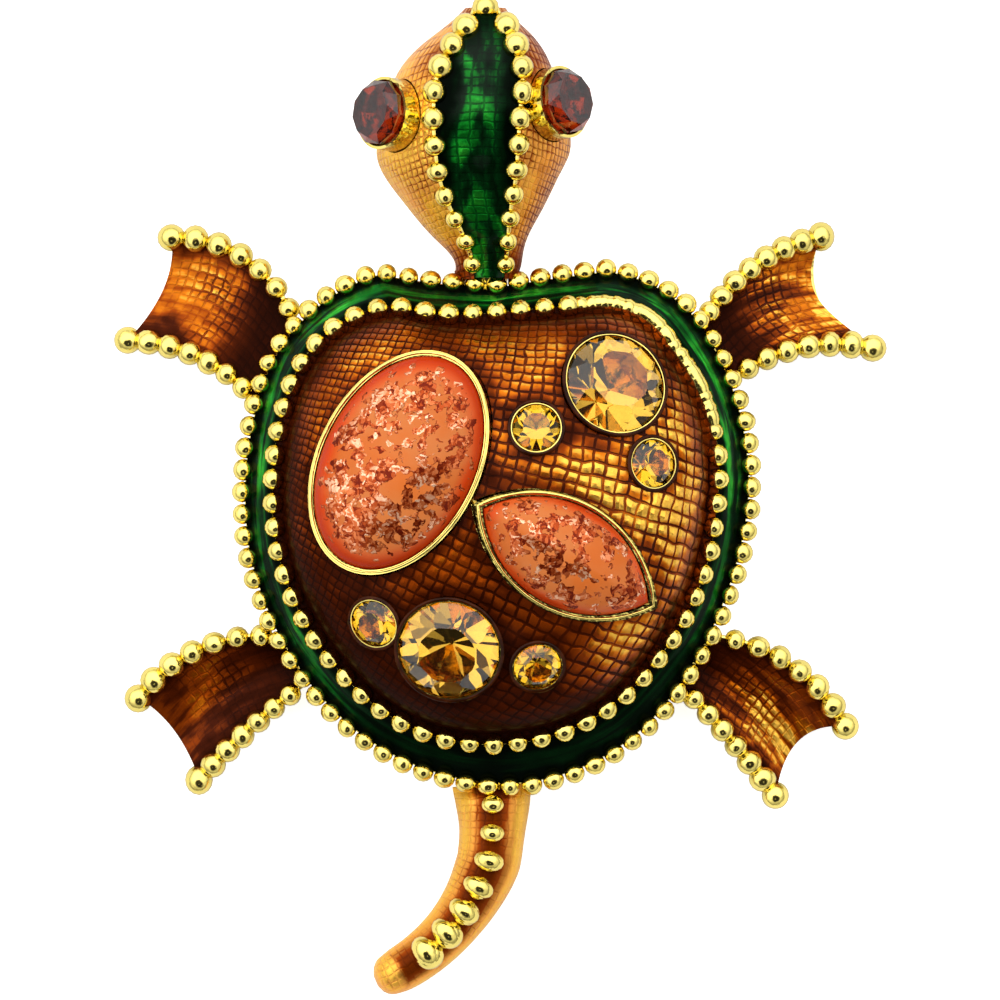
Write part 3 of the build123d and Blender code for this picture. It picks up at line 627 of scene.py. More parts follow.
def flake_material(name, colour, middle, turn, half_length, half_width):
    """Clear orange stone full of crinkled copper foil, with a clear band round its edge."""
    material, tree, shader = new_material(name, rough=0.25, coat=0.07)
    place = object_place(tree)
    flat = axes(mapped(place, "TEXTURE", Location=middle, Rotation=(0, 0, turn)))
    x, y = flat[0] / half_length, flat[1] / half_width
    reach = calc("SQRT", x * x + y * y)
    warp = grain(place, 1500.0, 3.0)["Color"]
    bent = vector_calc("ADD", place, vector_calc("SCALE", warp, Scale=0.0009))
    shard = scattered(bent, 1900.0)
    crumb = scattered(bent, 5600.0)
    inside = steps(reach, 0.96, 0.80)
    many = (cloud(place, 0.0017) * 0.62 + 0.29) * inside
    foil = steps(many - shard[0], -0.02, 0.04)
    body = ramp(
        reach,
        (0.0, shade(colour, 1.15)),
        (0.74, colour),
        (0.87, (0.62, 0.055, 0.004)),
        (1.0, (0.40, 0.020, 0.002)),
    )
    metal = ramp(
        shard[1] * 0.45 + crumb[1] * 0.55,
        (0.22, (0.16, 0.012, 0.002)),
        (0.45, (0.42, 0.060, 0.009)),
        (0.68, (0.70, 0.19, 0.060)),
        (0.92, (1.0, 0.60, 0.38)),
    )
    veiled = mixed(cloud(place, 0.0045, 0.0, 0.5) * inside, body, (0.62, 0.23, 0.075, 1.0))
    feed(shader, {"Base Color": mixed(foil, veiled, metal), "Metallic": foil * 0.6})
    feed(shader, {"Specular IOR Level": 0.05})
    emboss(shader, foil * (shard[2] + crumb[2]), 0.7, 0.00012)
    return material


def dark_material(name, colour):
    """Dark enamel, used as painted shadow."""
    material, tree, shader = new_material(name, coat=0.15)
    base = ramp(cloud(object_place(tree), 0.0012), (0.0, shade(colour, 0.3)), (1.0, colour))
    feed(shader, {"Base Color": base, "Specular IOR Level": 0.0})
    return material


def glass_material(name, colour, deep, shine=0.08):
    """Clear coloured glass, a little uneven in colour."""
    material, tree, shader = new_material(name, rough=0.0)
    base = mixed(cloud(object_place(tree), 0.0015), (*deep, 1), (*colour, 1))
    feed(shader, {"Base Color": base, "Transmission Weight": 1.0})
    feed(shader, {"IOR": 1.6, "Specular IOR Level": shine})
    return material


def plan_hatch(tree):
    """The hatch of the shell, whose lines crowd together down the dome's sides and turn as they go."""
    parts = axes(object_place(tree))
    size = 0.014
    x = (parts[0] - SHELL_X) / size
    y = (parts[1] - SHELL_Y) / size
    rise = put("ShaderNodeClamp", {0: (parts[2] - RIDGE_LEVEL) / (DOME_RISE + 0.0005)})
    share = calc("POWER", 1.0 - calc("POWER", rise, DOME_FULLNESS), 2 / DOME_FULLNESS)
    crowd = 1.0 + share * share * 0.22
    xx = x * x - y * y
    xy = x * y * 2.0
    turn = radians(20)
    bend = -0.12
    across = x * cos(turn) + y * -sin(turn) + xx * bend + xy * -bend
    along_it = x * sin(turn) + y * cos(turn) + xx * bend + xy * bend
    return put("ShaderNodeCombineXYZ", {0: across * crowd * size, 1: along_it * crowd * size})


def stone_shade(tree, half_width):
    """Painted shade of the shell's enamel beside its stones: how bright it is there."""
    place = object_place(tree)
    uneven = (grain(place, 420.0)["Fac"] - 0.5) * 0.0022
    total = 1.0
    for across, along_it, turn, half_length, stone_half, _ in (*SMOOTH_STONES.values(), *ROUND_STONES):
        middle = (SHELL_X + across * half_width, SHELL_Y + along_it * half_width, 0)
        flat = (half_length / stone_half, 1, 1000)
        turned = (0, 0, radians(turn))
        local = mapped(place, "TEXTURE", Location=middle, Rotation=turned, Scale=flat)
        away = vector_calc("LENGTH", local)["Value"] - stone_half + uneven
        # Painted shadow: the enamel is made darker close round each stone.
        total = total * steps(away, 0.0002, 0.0012, 0.45, 1.0)
    return total


def plan_light(tree):
    """Painted light and shade of the shell's enamel: dark low down, where it also lies deep, and darker
    to the rear left.
    """
    place = object_place(tree)
    parts = axes(place)
    level = parts[2] + grain(place, 350.0)["Fac"] * 0.0012
    # Painted light: darker low down, brighter to the right and towards the head.
    low = steps(level, 0.0078, 0.0102) * 0.78 + 0.25
    right = steps(parts[0], 0.004, 0.009, 0.69, 1.42)
    front = steps(parts[1] + parts[0] * 0.5, -0.016, 0.003, 0.19, 1.16)
    return low * right * stone_shade(tree, bpy.context.scene.brooch.half_width) * front


def surface_hatch(tree):
    """The hatch of a piece that carries its own map of the surface."""
    return put("ShaderNodeUVMap", {}, tree, uv_map="Surface")


def side_hatch(tree):
    """The hatch of the sides of the head, which runs along the head and round it."""
    parts = axes(object_place(tree))
    away = calc("ABSOLUTE", parts[0] - HEAD_X)
    return put("ShaderNodeCombineXYZ", {0: parts[1] + away * 0.35, 1: (away - parts[2]) * 0.75})


def side_light(tree):
    """How bright the enamel of the sides of the head is."""
    parts = axes(object_place(tree))
    neck = steps(parts[1], 0.0140, 0.0175, 0.55, 1.2)
    front = steps(parts[1], 0.0245, 0.0285, 1.0, 0.66)
    right = steps(parts[0], HEAD_X - 0.001, HEAD_X + 0.003, 1.0, 0.68)
    return front * right * neck


def strip_light(half, start=-1.0, end=-0.5, share=1.0, streak=0.0):
    """Brightness that fades towards both edges, and from end back to start, of a mapped piece."""

    def light(tree):
        surface = surface_hatch(tree)
        parts = axes(surface)
        shift = (grain(object_place(tree), 500.0)["Fac"] - 0.5) * half
        away = calc("ABSOLUTE", parts[1] + shift)
        along_it = steps(parts[0], start, end, share * 0.07, share)
        lines = grain(mapped(surface, Scale=(230, 1300, 1)), 1.0, 3.0)["Fac"]
        streaks = steps(lines, 0.38, 0.58, 1.0 - streak, 1.0)
        return steps(away, half, half * 0.35) * along_it * streaks

    return light


def worn_tip(tree):
    """How much of the hatch still shows along a flipper, whose outer part is smooth."""
    return steps(axes(surface_hatch(tree))[0], 0.0045, 0.0085, 1.0, 0.2)


def tail_light(tree):
    """Brightness of the tail, darkest below its beads, that glows towards its sides and its tip."""
    parts = axes(surface_hatch(tree))
    lit = steps(calc("ABSOLUTE", parts[1]), 0.0003, 0.0022, 0.3, 1.06)
    return calc("MAXIMUM", lit, steps(parts[0], 0.0136, 0.0150, 0.0, 0.95))


def arc_points(first, through, last, count):
    """Points along the arc through three points, without the last one."""
    leg, chord = through - first, last - first
    normal = leg.cross(chord)
    middle = first + (
        normal.cross(leg) * chord.length_squared + chord.cross(normal) * leg.length_squared
    ) / (2 * normal.length_squared)
    start, end = first - middle, last - middle
    axis = normal.normalized()
    sweep = atan2(axis.dot(start.cross(end)), start.dot(end)) % (2 * pi)
    side = axis.cross(start)
    return [
        middle + start * cos(sweep * step / count) + side * sin(sweep * step / count)
        for step in range(count)
    ]


def spread(first, last, count):
    """Evenly spaced values."""
    return [first + (last - first) * step / (count - 1) for step in range(count)]


def raised(height):
    """A step straight up, or down where it is below nought."""
    return Vector((0, 0, height))


def polar(angle, reach, level=0.0):
    """A point by its direction and distance from the shell's middle."""
    return Vector((SHELL_X + reach * cos(radians(angle)), SHELL_Y + reach * sin(radians(angle)), level))


def outline(half_width, column, grow, level):
    """The shell's outline as a ring of points."""
    corners = [polar(row[0], row[column] * half_width + grow, level) for row in SHELL_OUTLINE]
    points = []
    for start in range(0, len(corners), 2):
        last = corners[(start + 2) % len(corners)]
        points += arc_points(corners[start], corners[start + 1], last, ARC_STEPS)
    return points


def along(points, share):
    """The point at a share of a line's length."""
    lengths = [(after - before).length for before, after in zip(points, points[1:])]
    left = share * sum(lengths)
    for before, after, length in zip(points, points[1:], lengths):
        if left <= length:
            return before.lerp(after, left / length)
        left -= length
    return points[-1].copy()


def table_at(rows, share):
    """A row between those of a table, on a smooth line through them."""
    index = next((i for i, row in enumerate(rows[1:]) if share <= row[0]), len(rows) - 2)
    near = [rows[max(0, min(len(rows) - 1, index + step))] for step in (-1, 0, 1, 2)]
    t = (share - near[1][0]) / (near[2][0] - near[1][0])
    row = [share]
    for column in range(1, len(rows[0])):
        a, b, c, d = (item[column] for item in near)
        row.append(b + 0.5 * t * (c - a + t * (2 * a - 5 * b + 4 * c - d + t * (3 * (b - c) + d - a))))
    return row


def skin(name, sections, ring, top, strip=False):
    """A closed skin through loops of points, with a map of its surface: along, and across its top."""
    mesh = bpy.data.meshes.new(name)
    form = bmesh.new()
    surface = form.loops.layers.uv.new("Surface")
    loops = [[form.verts.new(point) for point in section] for section in sections]
    run = [0.0]
    for before, after in zip(sections, sections[1:] + sections[:1]):
        run.append(run[-1] + (after[top // 2] - before[top // 2]).length)
    wide = []
    for section in sections:
        reach = [0.0]
        for before, after in zip(section, section[1:] + section[:1]):
            reach.append(reach[-1] + (after - before).length)
        wide.append([value - reach[top - 1] / 2 for value in reach])
    count = len(sections[0])
    for low in range(len(loops) if ring else len(loops) - 1):
        high = (low + 1) % len(loops)
        for step in range(count):
            after = (step + 1) % count
            corners = (loops[low][step], loops[low][after], loops[high][after], loops[high][step])
            face = form.faces.new(corners)
            face.smooth = True
            spots = (
                (run[low], wide[low][step]),
                (run[low], wide[low][step + 1]),
                (run[low + 1], wide[high][step + 1]),
                (run[low + 1], wide[high][step]),
            )
            for corner, spot in zip(face.loops, spots):
                corner[surface].uv = spot
    if strip:
        for loop in (loops[0], loops[-1]):
            for step in range(top - 1):
                after = count - 1 - step
                form.faces.new((loop[step], loop[step + 1], loop[after - 1], loop[after]))
    elif not ring:
        form.faces.new(loops[0])
        form.faces.new(loops[-1])
    bmesh.ops.recalc_face_normals(form, faces=form.faces)
    form.to_mesh(mesh)
    form.free()
    piece = bpy.data.objects.new(name, mesh)
    bpy.context.scene.collection.objects.link(piece)
    return piece


def finish_piece(piece, material, nodes=(), angle=40):
    """Gives a piece its material and its place in the brooch."""
    piece.data.materials.clear()
    piece.data.materials.append(material)
    bpy.ops.object.select_all(action="DESELECT")
    piece.select_set(True)
    bpy.context.view_layer.objects.active = piece
    bpy.ops.object.shade_smooth_by_angle(angle=radians(angle))
    if nodes:
        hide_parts(*nodes)
    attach(piece, "root")
    return piece


def tube(name, points, radii, sides=8, closed=False):
    """A round bar of uneven thickness along a line."""
    sections = []
    for index, point in enumerate(points):
        before = points[index - 1] if index or closed else point
        after = points[(index + 1) % len(points)] if index + 1 < len(points) or closed else point
        way = (after - before).normalized()
        side = way.cross(Vector((0, 0, 1))).normalized()
        up = side.cross(way)
        turns = [2 * pi * step / sides for step in range(sides)]
        sections.append([point + (side * cos(turn) + up * sin(turn)) * radii[index] for turn in turns])
    return skin(name, sections, closed, sides)


def join(pieces, name):
    """Several objects made one."""
    bpy.ops.object.select_all(action="DESELECT")
    for piece in pieces:
        piece.select_set(True)
    bpy.context.view_layer.objects.active = pieces[0]
    bpy.ops.object.join()
    pieces[0].name = name
    return pieces[0]


def primitive(add, name, **sizes):
    """A primitive to work on, with nothing else selected."""
    bpy.ops.object.select_all(action="DESELECT")
    add(**sizes)
    piece = bpy.context.object
    piece.name = name
    return piece


def beads(name, places, segments, rings):
    """Beads at these places and of these radii, each a little uneven and flattened if it is turned."""
    noise.seed_set(BEAD_SEED)
    model = primitive(bpy.ops.mesh.primitive_uv_sphere_add, "bead", segments=segments, ring_count=rings)
    copies = []
    for place, radius, *turn in places:
        copy = model.copy()
        copy.data = model.data.copy()
        uneven = noise.noise_vector(place * 900) * 0.12
        shape = Matrix.Diagonal((*[radius * (1 + part) for part in uneven], 1))
        if turn:
            flat = Matrix.Diagonal((1.06, 0.84, 1, 1))
            shape = Matrix.Rotation(turn[0], 4, "Z") @ flat @ shape
        copy.data.transform(Matrix.Translation(place) @ shape)
        bpy.context.scene.collection.objects.link(copy)
        copies.append(copy)
    bpy.data.objects.remove(model)
    return join(copies, name)


def dress(names, material):
    """A material for whole nodes of the frame."""
    for name in names:
        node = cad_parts[name]
        for index in range(len(node.data.materials)):
            node.data.materials[index] = material


def brow(row, side):
    """One edge of the crown of the head."""
    return Vector(
        (
            HEAD_X + row[CROWN_MIDDLE] * HEAD_HALF + side * row[CROWN_HALF] * CROWN_HALF_WIDTH,
            HEAD_Y + row[ALONG] * HEAD_LENGTH,
            HEAD_FLOOR + row[HEIGHT] * HEAD_HEIGHT - CROWN_DROP,
        )
    )


def brow_line(side, count):
    """One edge of the crown of the head, from the neck to the nose."""
    return [brow(table_at(HEAD_SECTIONS, share), side) for share in spread(*BROW_SPAN, count)]


def flipper_edges(name, half_width):
    """The two long edges of a flipper in plan."""
    span, *edges = FLIPPERS[name][:3]
    lines = []
    for root_turn, root, middle_turn, middle, tip_turn, tip, _ in edges:
        last = polar(tip_turn, tip * span)
        first, through = polar(root_turn, root * half_width), polar(middle_turn, middle * span)
        lines.append(arc_points(first, through, last, EDGE_POINTS - 1) + [last])
    return lines


def flipper_point(edge, share, rise):
    """A point on a long edge of a flipper, a little above its metal."""
    point = along(edge, share)
    point.z = FLIPPER_ROOT + share * (FLIPPER_TIP - FLIPPER_ROOT) + rise
    return point


def tail_line():
    """The line of the tail in plan."""
    points = [
        Vector((SHELL_X + across * TAIL_LENGTH, TAIL_Y - down * TAIL_LENGTH, 0))
        for across, down in TAIL_LINE
    ]
    line = arc_points(*points[:3], 20) + arc_points(*points[2:], 20)
    return line + [points[-1]]


def tail_frame(line, share):
    """A point of the tail's underside and the direction across it."""
    middle = along(line, share)
    way = (along(line, min(1, share + 0.01)) - along(line, share - 0.01)).normalized()
    middle.z = TAIL_ROOT_FLOOR + share * (TAIL_TIP_FLOOR - TAIL_ROOT_FLOOR)
    return middle, way.cross(Vector((0, 0, 1)))


def reach_at(half_width, angle):
    """How far the line of inner beads lies from the shell's middle in one direction."""
    first = SHELL_OUTLINE[0]
    rows = (*SHELL_OUTLINE, (first[0] + 360, *first[1:]))
    turned = first[0] + (angle - first[0]) % 360
    low, high = next(pair for pair in zip(rows, rows[1:]) if turned <= pair[1][0])
    share = (turned - low[0]) / (high[0] - low[0])
    return half_width * (low[RIDGE] + share * (high[RIDGE] - low[RIDGE]))


def dome_height(half_width, x, y):
    """The level of the dome's metal above one point."""
    angle = atan2(y - SHELL_Y, x - SHELL_X) * 180 / pi
    reach = Vector((x - SHELL_X, y - SHELL_Y)).length
    share = reach / (reach_at(half_width, angle) - DOME_INSET)
    return RIDGE_LEVEL + DOME_RISE * (1 - share**DOME_FULLNESS) ** (1 / DOME_FULLNESS)


def dome_frame(half_width, across, along_it, rise, turn):
    """The middle of a stone's girdle and its three directions, square to the dome."""
    x = SHELL_X + across * half_width
    y = SHELL_Y + along_it * half_width
    step = 0.0015
    slope_x = (dome_height(half_width, x + step, y) - dome_height(half_width, x - step, y)) / (2 * step)
    slope_y = (dome_height(half_width, x, y + step) - dome_height(half_width, x, y - step)) / (2 * step)
    up = Vector((-slope_x, -slope_y, 1)).normalized()
    side = Vector((cos(radians(turn)), sin(radians(turn)), 0))
    side = (side - up * side.dot(up)).normalized()
    middle = Vector((x, y, dome_height(half_width, x, y))) + up * rise
    return middle, side, up.cross(side), up


def stone_reach(x, y, half_length, half_width, pointed, grow=0.0):
    """A point of a smooth stone's outline in one direction."""
    half_length += grow * (1.9 if pointed else 1.0)
    half_width += grow
    if not pointed:
        return x * half_length, y * half_width
    drop = (half_length**2 - half_width**2) / (2 * half_width)
    reach = -abs(y) * drop + (y * y * drop**2 + (half_width + drop) ** 2 - drop**2) ** 0.5
    return x * reach, y * reach


def stone_rings(name, stones, half_width, sizes):
    """Thin uneven rings round stones, made one piece."""
    rise, grow, count, radius, uneven, fine = sizes
    rings = []
    for across, along_it, turn, half_length, stone_half, pointed in stones:
        middle, side, other, _ = dome_frame(half_width, across, along_it, rise, turn)
        points = []
        for step in range(count):
            angle = 2 * pi * step / count
            x, y = stone_reach(cos(angle), sin(angle), half_length, stone_half, pointed, grow)
            points.append(middle + side * x + other * y)
        radii = [radius + uneven * noise.noise(point * fine) for point in points]
        rings.append(tube(name, points, radii, closed=True))
    return join(rings, name)


class BROOCH_OT_metal(bpy.types.Operator):
    """Gilds the casting and lays the rails that link its beads"""

    bl_idname = "brooch.metal"
    bl_label = "Metal"

    def execute(self, context):
        s = context.scene.brooch
        gold = gold_material("Gilt", s.gold, 0.1)
        dress(("casting",), gold)
        dress(("pin_back",), gold_material("Pin_metal", shade(s.gold, 0.85), 0.22))
        rails = []
        for side in (-1, 1):
            points = brow_line(side, 41)
            rails.append(tube("rail", points, [s.rail] * len(points)))
        for name in FLIPPERS:
            for edge in flipper_edges(name, s.half_width):
                points = [flipper_point(edge, share, 0.0001) for share in spread(0, 1, EDGE_POINTS)]
                rails.append(tube("rail", points, [s.rail * 1.2] * len(points)))
        finish_piece(join(rails, "bead_rails"), gold)
        self.lay_beads(s, gold)
        ring = outline(s.half_width, RIDGE, 0.0, RIDGE_BEAD_LEVEL)
        points = [along(ring + ring[:1], share) for share in spread(WORN_START, WORN_END, WORN_POINTS)]
        radii = []
        for step in range(WORN_POINTS):
            taper = min(1.0, 0.45 + step / 8, 0.45 + (WORN_POINTS - 1 - step) / 8)
            waver = noise.noise(Vector((step * 0.35, 0.5, 0.0)))
            radii.append(WORN_RADIUS * taper * (1 + 0.22 * waver))
        finish_piece(tube("worn_ridge", points, radii, 12), gold)
        bezels = stone_rings("bezel_rims", SMOOTH_STONES.values(), s.half_width, BEZEL)
        finish_piece(bezels, gold, angle=80)
        return {"FINISHED"}

    def lay_beads(self, s, gold):
        """Full, slightly uneven beads over the cast ones."""
        for name, column, level, count, radius in SHELL_BEADS:
            ring = outline(s.half_width, column, 0.0, level)
            ring.append(ring[0])
            shares = [step / count for step in range(count)]
            if column == RIDGE:
                shares = [share for share in shares if not WORN_START < share < WORN_END]
            places = [(along(ring, share), radius) for share in shares]
            finish_piece(beads(name, places, 14, 9), gold, angle=80)
        places = []
        count, first, last = HEAD_BEADS
        for side in (-1, 1):
            line = brow_line(side, HEAD_POINTS)
            for step, radius in enumerate(spread(first, last, count)):
                places.append((along(line, 0.03 + step * 0.97 / count) + raised(0.0001), radius))
        nose = HEAD_SECTIONS[-1]
        places.append(((brow(nose, -1) + brow(nose, 1)) / 2, NOSE_BEAD))
        line = tail_line()
        count, first, last = TAIL_BEADS
        for share, radius in zip(spread(*TAIL_BEAD_SPAN, count), spread(first, last, count)):
            middle, side = tail_frame(line, share)
            middle.z += table_at(TAIL_SECTIONS, share)[2] * TAIL_HEIGHT - 0.0001
            places.append((middle, radius, atan2(side.y, side.x)))
        first, last = FLIPPER_BEADS
        for name in FLIPPERS:
            for edge, row in zip(flipper_edges(name, s.half_width), FLIPPERS[name][1:3]):
                for share in spread(*FLIPPER_BEAD_SPAN, row[-1]):
                    places.append((flipper_point(edge, share, 0.0002), first + (last - first) * share))
        finish_piece(beads("edge_beads", places, 16, 10), gold, angle=80)


class BROOCH_OT_shell(bpy.types.Operator):
    """Colours the enamel of the shell and fills the pool between it and the inner beads"""

    bl_idname = "brooch.shell"
    bl_label = "Shell enamel"

    def execute(self, context):
        s = context.scene.brooch
        amber = amber_material("Shell_amber", s.amber, plan_hatch, plan_light, s.hatch, 0.8)
        dress(("shell_enamel",), amber)
        rings = []
        for share in spread(0, 1, 7):
            grow = POOL_START + (POOL_END - POOL_START) * share
            rings.append(outline(s.half_width, RIDGE, grow, POOL_LEVEL + POOL_RISE * share**3))
        for grow, level in zip((POOL_END, POOL_START), POOL_FLOOR):
            rings.append(outline(s.half_width, RIDGE, grow, level))
        sections = [list(section) for section in zip(*rings)]
        finish_piece(skin("shell_pool", sections, True, 7), amber)
        # Painted shadow: dark collars of enamel round the faceted stones.
        collars = stone_rings("stone_collars", ROUND_STONES, s.half_width, COLLAR)
        finish_piece(collars, dark_material("Shadow_amber", s.pooled))
        return {"FINISHED"}


class BROOCH_OT_band(bpy.types.Operator):
    """Lays the green band between the two rings of beads"""

    bl_idname = "brooch.band"
    bl_label = "Green band"

    def execute(self, context):
        s = context.scene.brooch
        green = green_material("Band_green", s.green, strip_light(0.00095), (160, 1900, 1), 0.0)
        outer = outline(s.half_width, RIM, -0.0002, 0.0)
        inner = outline(s.half_width, RIDGE, 0.00006, 0.0)
        sections = []
        for low, high in zip(outer, inner):
            section = []
            for share in spread(0, 1, 10):
                level = BAND_LOW + (BAND_HIGH - BAND_LOW) * share - BAND_SAG * sin(pi * share)
                section.append(low.lerp(high, share) + raised(level))
            sections.append(section + [high + raised(BAND_FLOOR[0]), low + raised(BAND_FLOOR[1])])
        band = skin("green_band", sections, True, 10)
        finish_piece(band, green, ("rim_enamel",))
        return {"FINISHED"}


class BROOCH_OT_head(bpy.types.Operator):
    """Lays the green crown of the head and colours its sides"""

    bl_idname = "brooch.head"
    bl_label = "Head enamel"

    def execute(self, context):
        s = context.scene.brooch
        sides = amber_material("Head_amber", s.apricot, side_hatch, side_light, s.hatch * 0.6, 0.4)
        dress(("head_enamel_left", "head_enamel_right"), sides)
        light = strip_light(0.0021, 0.020, 0.013, 0.9)
        green = green_material("Crown_green", s.green, light, (300, 700, 1), 0.35)
        sections = []
        down = raised(-s.skin)
        for share in spread(*CROWN_SPAN, HEAD_POINTS):
            row = table_at(HEAD_SECTIONS, share)
            left, right = brow(row, -1), brow(row, 1)
            top = (left + right) / 2 + raised(CROWN_DROP)
            points = arc_points(left, top, right, 10) + [right]
            sections.append(points + [right + down, left + down])
        crown = skin("green_crown", sections, False, 11)
        finish_piece(crown, green, ("head_crown_enamel",))
        for side, name in ((-1, "left"), (1, "right")):
            sections = []
            for share in spread(*NECK_SPAN, 9):
                row = table_at(HEAD_SECTIONS, share)
                edge = brow(row, side)
                inset = abs(edge.x - HEAD_X - row[MIDDLE] * HEAD_HALF)
                away = Vector((side * (row[HALF_WIDTH] * HEAD_HALF - inset), 0, 0))
                points = []
                for turn in (0, 0.3, 0.6, 0.85, 1.0):
                    points.append(edge + away * turn + raised(0.0001 - NECK_DROP * turn * turn))
                sections.append(points + [point + down for point in points[::-1]])
            neck = skin("neck_enamel_" + name, sections, False, 5, True)
            finish_piece(neck, sides)
        return {"FINISHED"}


class BROOCH_OT_flippers(bpy.types.Operator):
    """Fills the troughs of the four flippers"""

    bl_idname = "brooch.flippers"
    bl_label = "Flipper enamel"

    def execute(self, context):
        s = context.scene.brooch
        for name, (*_, hollow, light) in FLIPPERS.items():
            low, high = flipper_edges(name, s.half_width)
            root = along(low, 0).lerp(along(high, 0), 0.5)
            length = (along(low, 1).lerp(along(high, 1), 0.5) - root).length
            sections = []
            for way in spread(0, 1, 31):
                points = []
                for t in spread(-1, 1, 21):
                    end = 1 - (hollow * (1 - t * t) + FILL_GAP) / length
                    share = 0.1 + (end - 0.1) * way
                    point = along(low, share).lerp(along(high, share), 0.5 + 0.47 * t)
                    level = FLIPPER_ROOT + share * (FLIPPER_TIP - FLIPPER_ROOT)
                    points.append(point + raised(level - TROUGH * (1 - t * t) + FILL_RISE))
                sections.append(points + [point - raised(s.skin) for point in points[::-1]])
            fill = skin("flipper_" + name + "_fill", sections, False, 21, True)
            look = (strip_light(*light), s.hatch * 0.72, 0.72, 0.55, worn_tip)
            amber = amber_material("Amber_" + name, s.amber, surface_hatch, *look)
            finish_piece(fill, amber, ("flipper_enamel_" + name,))
        return {"FINISHED"}


class BROOCH_OT_tail(bpy.types.Operator):
    """Coats the tail"""

    bl_idname = "brooch.tail"
    bl_label = "Tail enamel"

    def execute(self, context):
        s = context.scene.brooch
        pitch = s.hatch * 0.66
        amber = amber_material("Tail_amber", s.apricot, surface_hatch, tail_light, pitch, 0.17, 0.14)
        line = tail_line()
        sections = []
        for share in spread(*TAIL_SPAN, TAIL_POINTS):
            _, width, height = table_at(TAIL_SECTIONS, share)
            middle, side = tail_frame(line, share)
            half = side * width * TAIL_HALF
            top = middle + raised(height * TAIL_HEIGHT)
            points = arc_points(middle - half, top, middle + half, 14)
            sections.append(points + [middle + half])
        tail = skin("tail_coat", sections, False, 15)
        finish_piece(tail, amber, ("tail_enamel",))
        return {"FINISHED"}


class BROOCH_OT_cabochons(bpy.types.Operator):
    """Makes the two smooth stones with foil flakes"""

    bl_idname = "brooch.cabochons"
    bl_label = "Smooth stones"

    def execute(self, context):
        s = context.scene.brooch
        for name, (across, along_it, turn, half_length, half_width, pointed) in SMOOTH_STONES.items():
            middle, side, other, up = dome_frame(s.half_width, across, along_it, 0.0001, turn)
            add = bpy.ops.mesh.primitive_uv_sphere_add
            stone = primitive(add, name + "_stone", segments=96, ring_count=48)
            bpy.ops.object.mode_set(mode="EDIT")
            bpy.ops.mesh.select_all(action="SELECT")
            bpy.ops.mesh.bisect(plane_co=(0, 0, 0), plane_no=(0, 0, 1), use_fill=True, clear_inner=True)
            bpy.ops.object.mode_set(mode="OBJECT")
            for vertex in stone.data.vertices:
                x, y, z = vertex.co
                flat = max(1e-9, Vector((x, y)).length)
                x, y = stone_reach(x / flat, y / flat, half_length, half_width, pointed)
                vertex.co = middle + side * (x * flat) + other * (y * flat) + up * z * CABOCHON_RISE
            frame_of_stone = (middle, atan2(side.y, side.x), half_length, half_width)
            foil = flake_material(name.capitalize() + "_foil", s.salmon, *frame_of_stone)
            finish_piece(stone, foil, (name + "_cabochon",), 60)
        return {"FINISHED"}


class BROOCH_OT_stones(bpy.types.Operator):
    """Gives the faceted stones and the eyes their glass"""

    bl_idname = "brooch.stones"
    bl_label = "Faceted stones"

    def execute(self, context):
        s = context.scene.brooch
        large = glass_material("Champagne", s.champagne, shade(s.champagne, 0.8))
        small = glass_material("Honey", s.honey, shade(s.honey, 0.75))
        dress(("large_stone_front", "large_stone_rear"), large)
        dress(["small_stone_" + str(number) for number in range(1, 5)], small)
        eyes = glass_material("Smoke", s.smoke, shade(s.smoke, 0.55), 0.02)
        for name, (middle, lean, direction) in EYES.items():
            flat = sin(radians(lean))
            turn = radians(direction)
            up = Vector((flat * cos(turn), flat * sin(turn), cos(radians(lean))))
            add = bpy.ops.mesh.primitive_cylinder_add
            gem = primitive(add, "eye_gem_" + name, vertices=EYE_SIDES, radius=EYE_RADIUS, depth=0.0004)
            for way, rise, share in EYE_FACETS:
                bpy.ops.object.mode_set(mode="EDIT")
                form = bmesh.from_edit_mesh(gem.data)
                end = max(form.faces, key=lambda face: way * face.calc_center_median().z)
                for face in form.faces:
                    face.select_set(face is end)
                bmesh.update_edit_mesh(gem.data)
                bpy.ops.mesh.extrude_region_move(TRANSFORM_OT_translate={"value": (0, 0, way * rise)})
                bpy.ops.transform.resize(value=(share, share, 1))
                if way > 0:
                    half_side = pi / EYE_SIDES
                    bpy.ops.transform.rotate(value=half_side, orient_axis="Z", center_override=(0, 0, 0))
                bpy.ops.object.mode_set(mode="OBJECT")
            turned = up.to_track_quat("Z", "Y").to_matrix().to_4x4()
            gem.data.transform(Matrix.Translation(Vector(middle) + up * 0.0003) @ turned)
            finish_piece(gem, eyes, ("eye_stone_" + name,), 5)
        return {"FINISHED"}


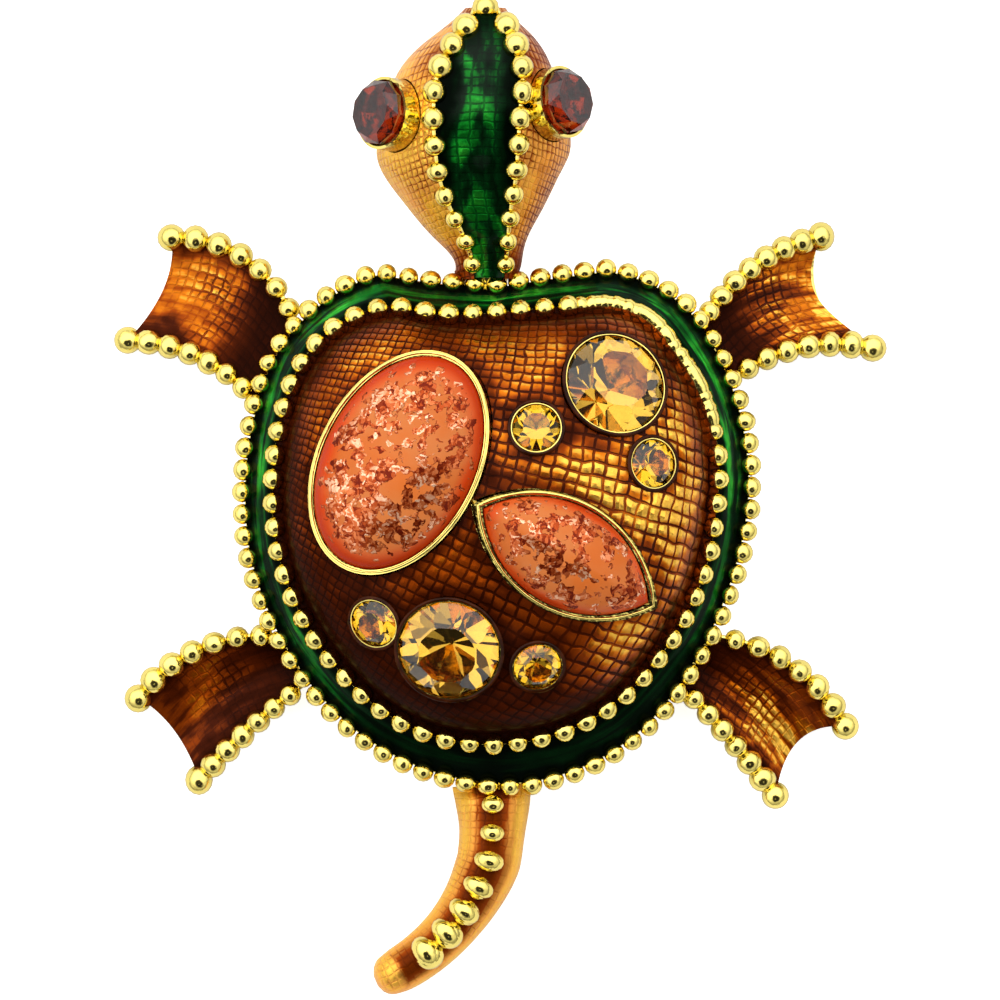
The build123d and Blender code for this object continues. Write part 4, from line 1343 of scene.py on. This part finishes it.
class BROOCH_OT_studio(bpy.types.Operator):
    """Sets the floor, the light and the camera"""

    bl_idname = "brooch.studio"
    bl_label = "Studio"

    def execute(self, context):
        scene = context.scene
        scene.view_settings.view_transform = "Standard"
        floor = primitive(bpy.ops.mesh.primitive_plane_add, "floor", size=1.0)
        material, tree, shader = new_material("Paper", rough=0.6)
        white = ramp(cloud(object_place(tree), 0.05), (0.0, (0.86, 0.86, 0.86)), (1.0, (0.9, 0.9, 0.9)))
        seen = Wire(tree.nodes.new("ShaderNodeLightPath"), "Is Camera Ray")
        feed(shader, {"Base Color": white, "Emission Strength": seen * 0.75 + 0.05})
        feed(shader, {"Emission Color": (1, 1, 1, 1)})
        floor.data.materials.append(material)
        world = bpy.data.worlds.new("Tent")
        world.use_nodes = True
        tree = world.node_tree
        way = Wire(tree.nodes.new("ShaderNodeTexCoord"), "Generated")
        card = vector_calc("DOT_PRODUCT", way, (0.05, -0.49, 0.87))["Value"]
        window = vector_calc("DOT_PRODUCT", way, (-0.25, 0.70, 0.66))["Value"]
        spark = steps(card, 0.993, 0.998, 0.0, 0.5)
        low = steps(axes(way)[2], 0.05, 0.55, 0.4, 1.05)
        bright = steps(window, -0.3, 0.9, 0.82, 2.0) * low
        level = bright * (1.0 - steps(card, 0.77, 0.91)) + spark + 0.03
        feed(tree.nodes["Background"], {"Color": level})
        scene.world = world
        bpy.ops.object.camera_add(location=CAMERA_PLACE, rotation=(0, 0, 0))
        camera = context.object
        camera.name = "camera"
        camera.data.sensor_width = 36
        camera.data.lens = 36 * (CAMERA_PLACE[2] - PICTURE_LEVEL) / PICTURE_WIDTH
        camera.data.clip_end = 10
        scene.camera = camera
        return {"FINISHED"}


class BROOCH_PT_panel(bpy.types.Panel):
    """Buttons for the brooch"""

    bl_idname = "BROOCH_PT_panel"
    bl_label = "Turtle brooch"
    bl_space_type = "VIEW_3D"
    bl_region_type = "UI"
    bl_category = "Brooch"

    def draw(self, context):
        for name in BroochSettings.__annotations__:
            self.layout.prop(context.scene.brooch, name)
        for operator in OPERATORS:
            self.layout.operator(operator.bl_idname)


OPERATORS = (
    BROOCH_OT_metal,
    BROOCH_OT_shell,
    BROOCH_OT_band,
    BROOCH_OT_head,
    BROOCH_OT_flippers,
    BROOCH_OT_tail,
    BROOCH_OT_cabochons,
    BROOCH_OT_stones,
    BROOCH_OT_studio,
)
CLASSES = (BroochSettings, *OPERATORS, BROOCH_PT_panel)


def register():
    """Registers the settings, the operators and the panel."""
    for item in CLASSES:
        bpy.utils.register_class(item)
    bpy.types.Scene.brooch = bpy.props.PointerProperty(type=BroochSettings)


def unregister():
    """Takes away what register adds."""
    del bpy.types.Scene.brooch
    for item in reversed(CLASSES):
        bpy.utils.unregister_class(item)


def main():
    """Builds everything in order."""
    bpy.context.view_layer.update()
    register()
    bpy.ops.brooch.metal()
    bpy.ops.brooch.shell()
    bpy.ops.brooch.band()
    bpy.ops.brooch.head()
    bpy.ops.brooch.flippers()
    bpy.ops.brooch.tail()
    bpy.ops.brooch.cabochons()
    bpy.ops.brooch.stones()
    bpy.ops.brooch.studio()


if __name__ == "__main__":
    main()
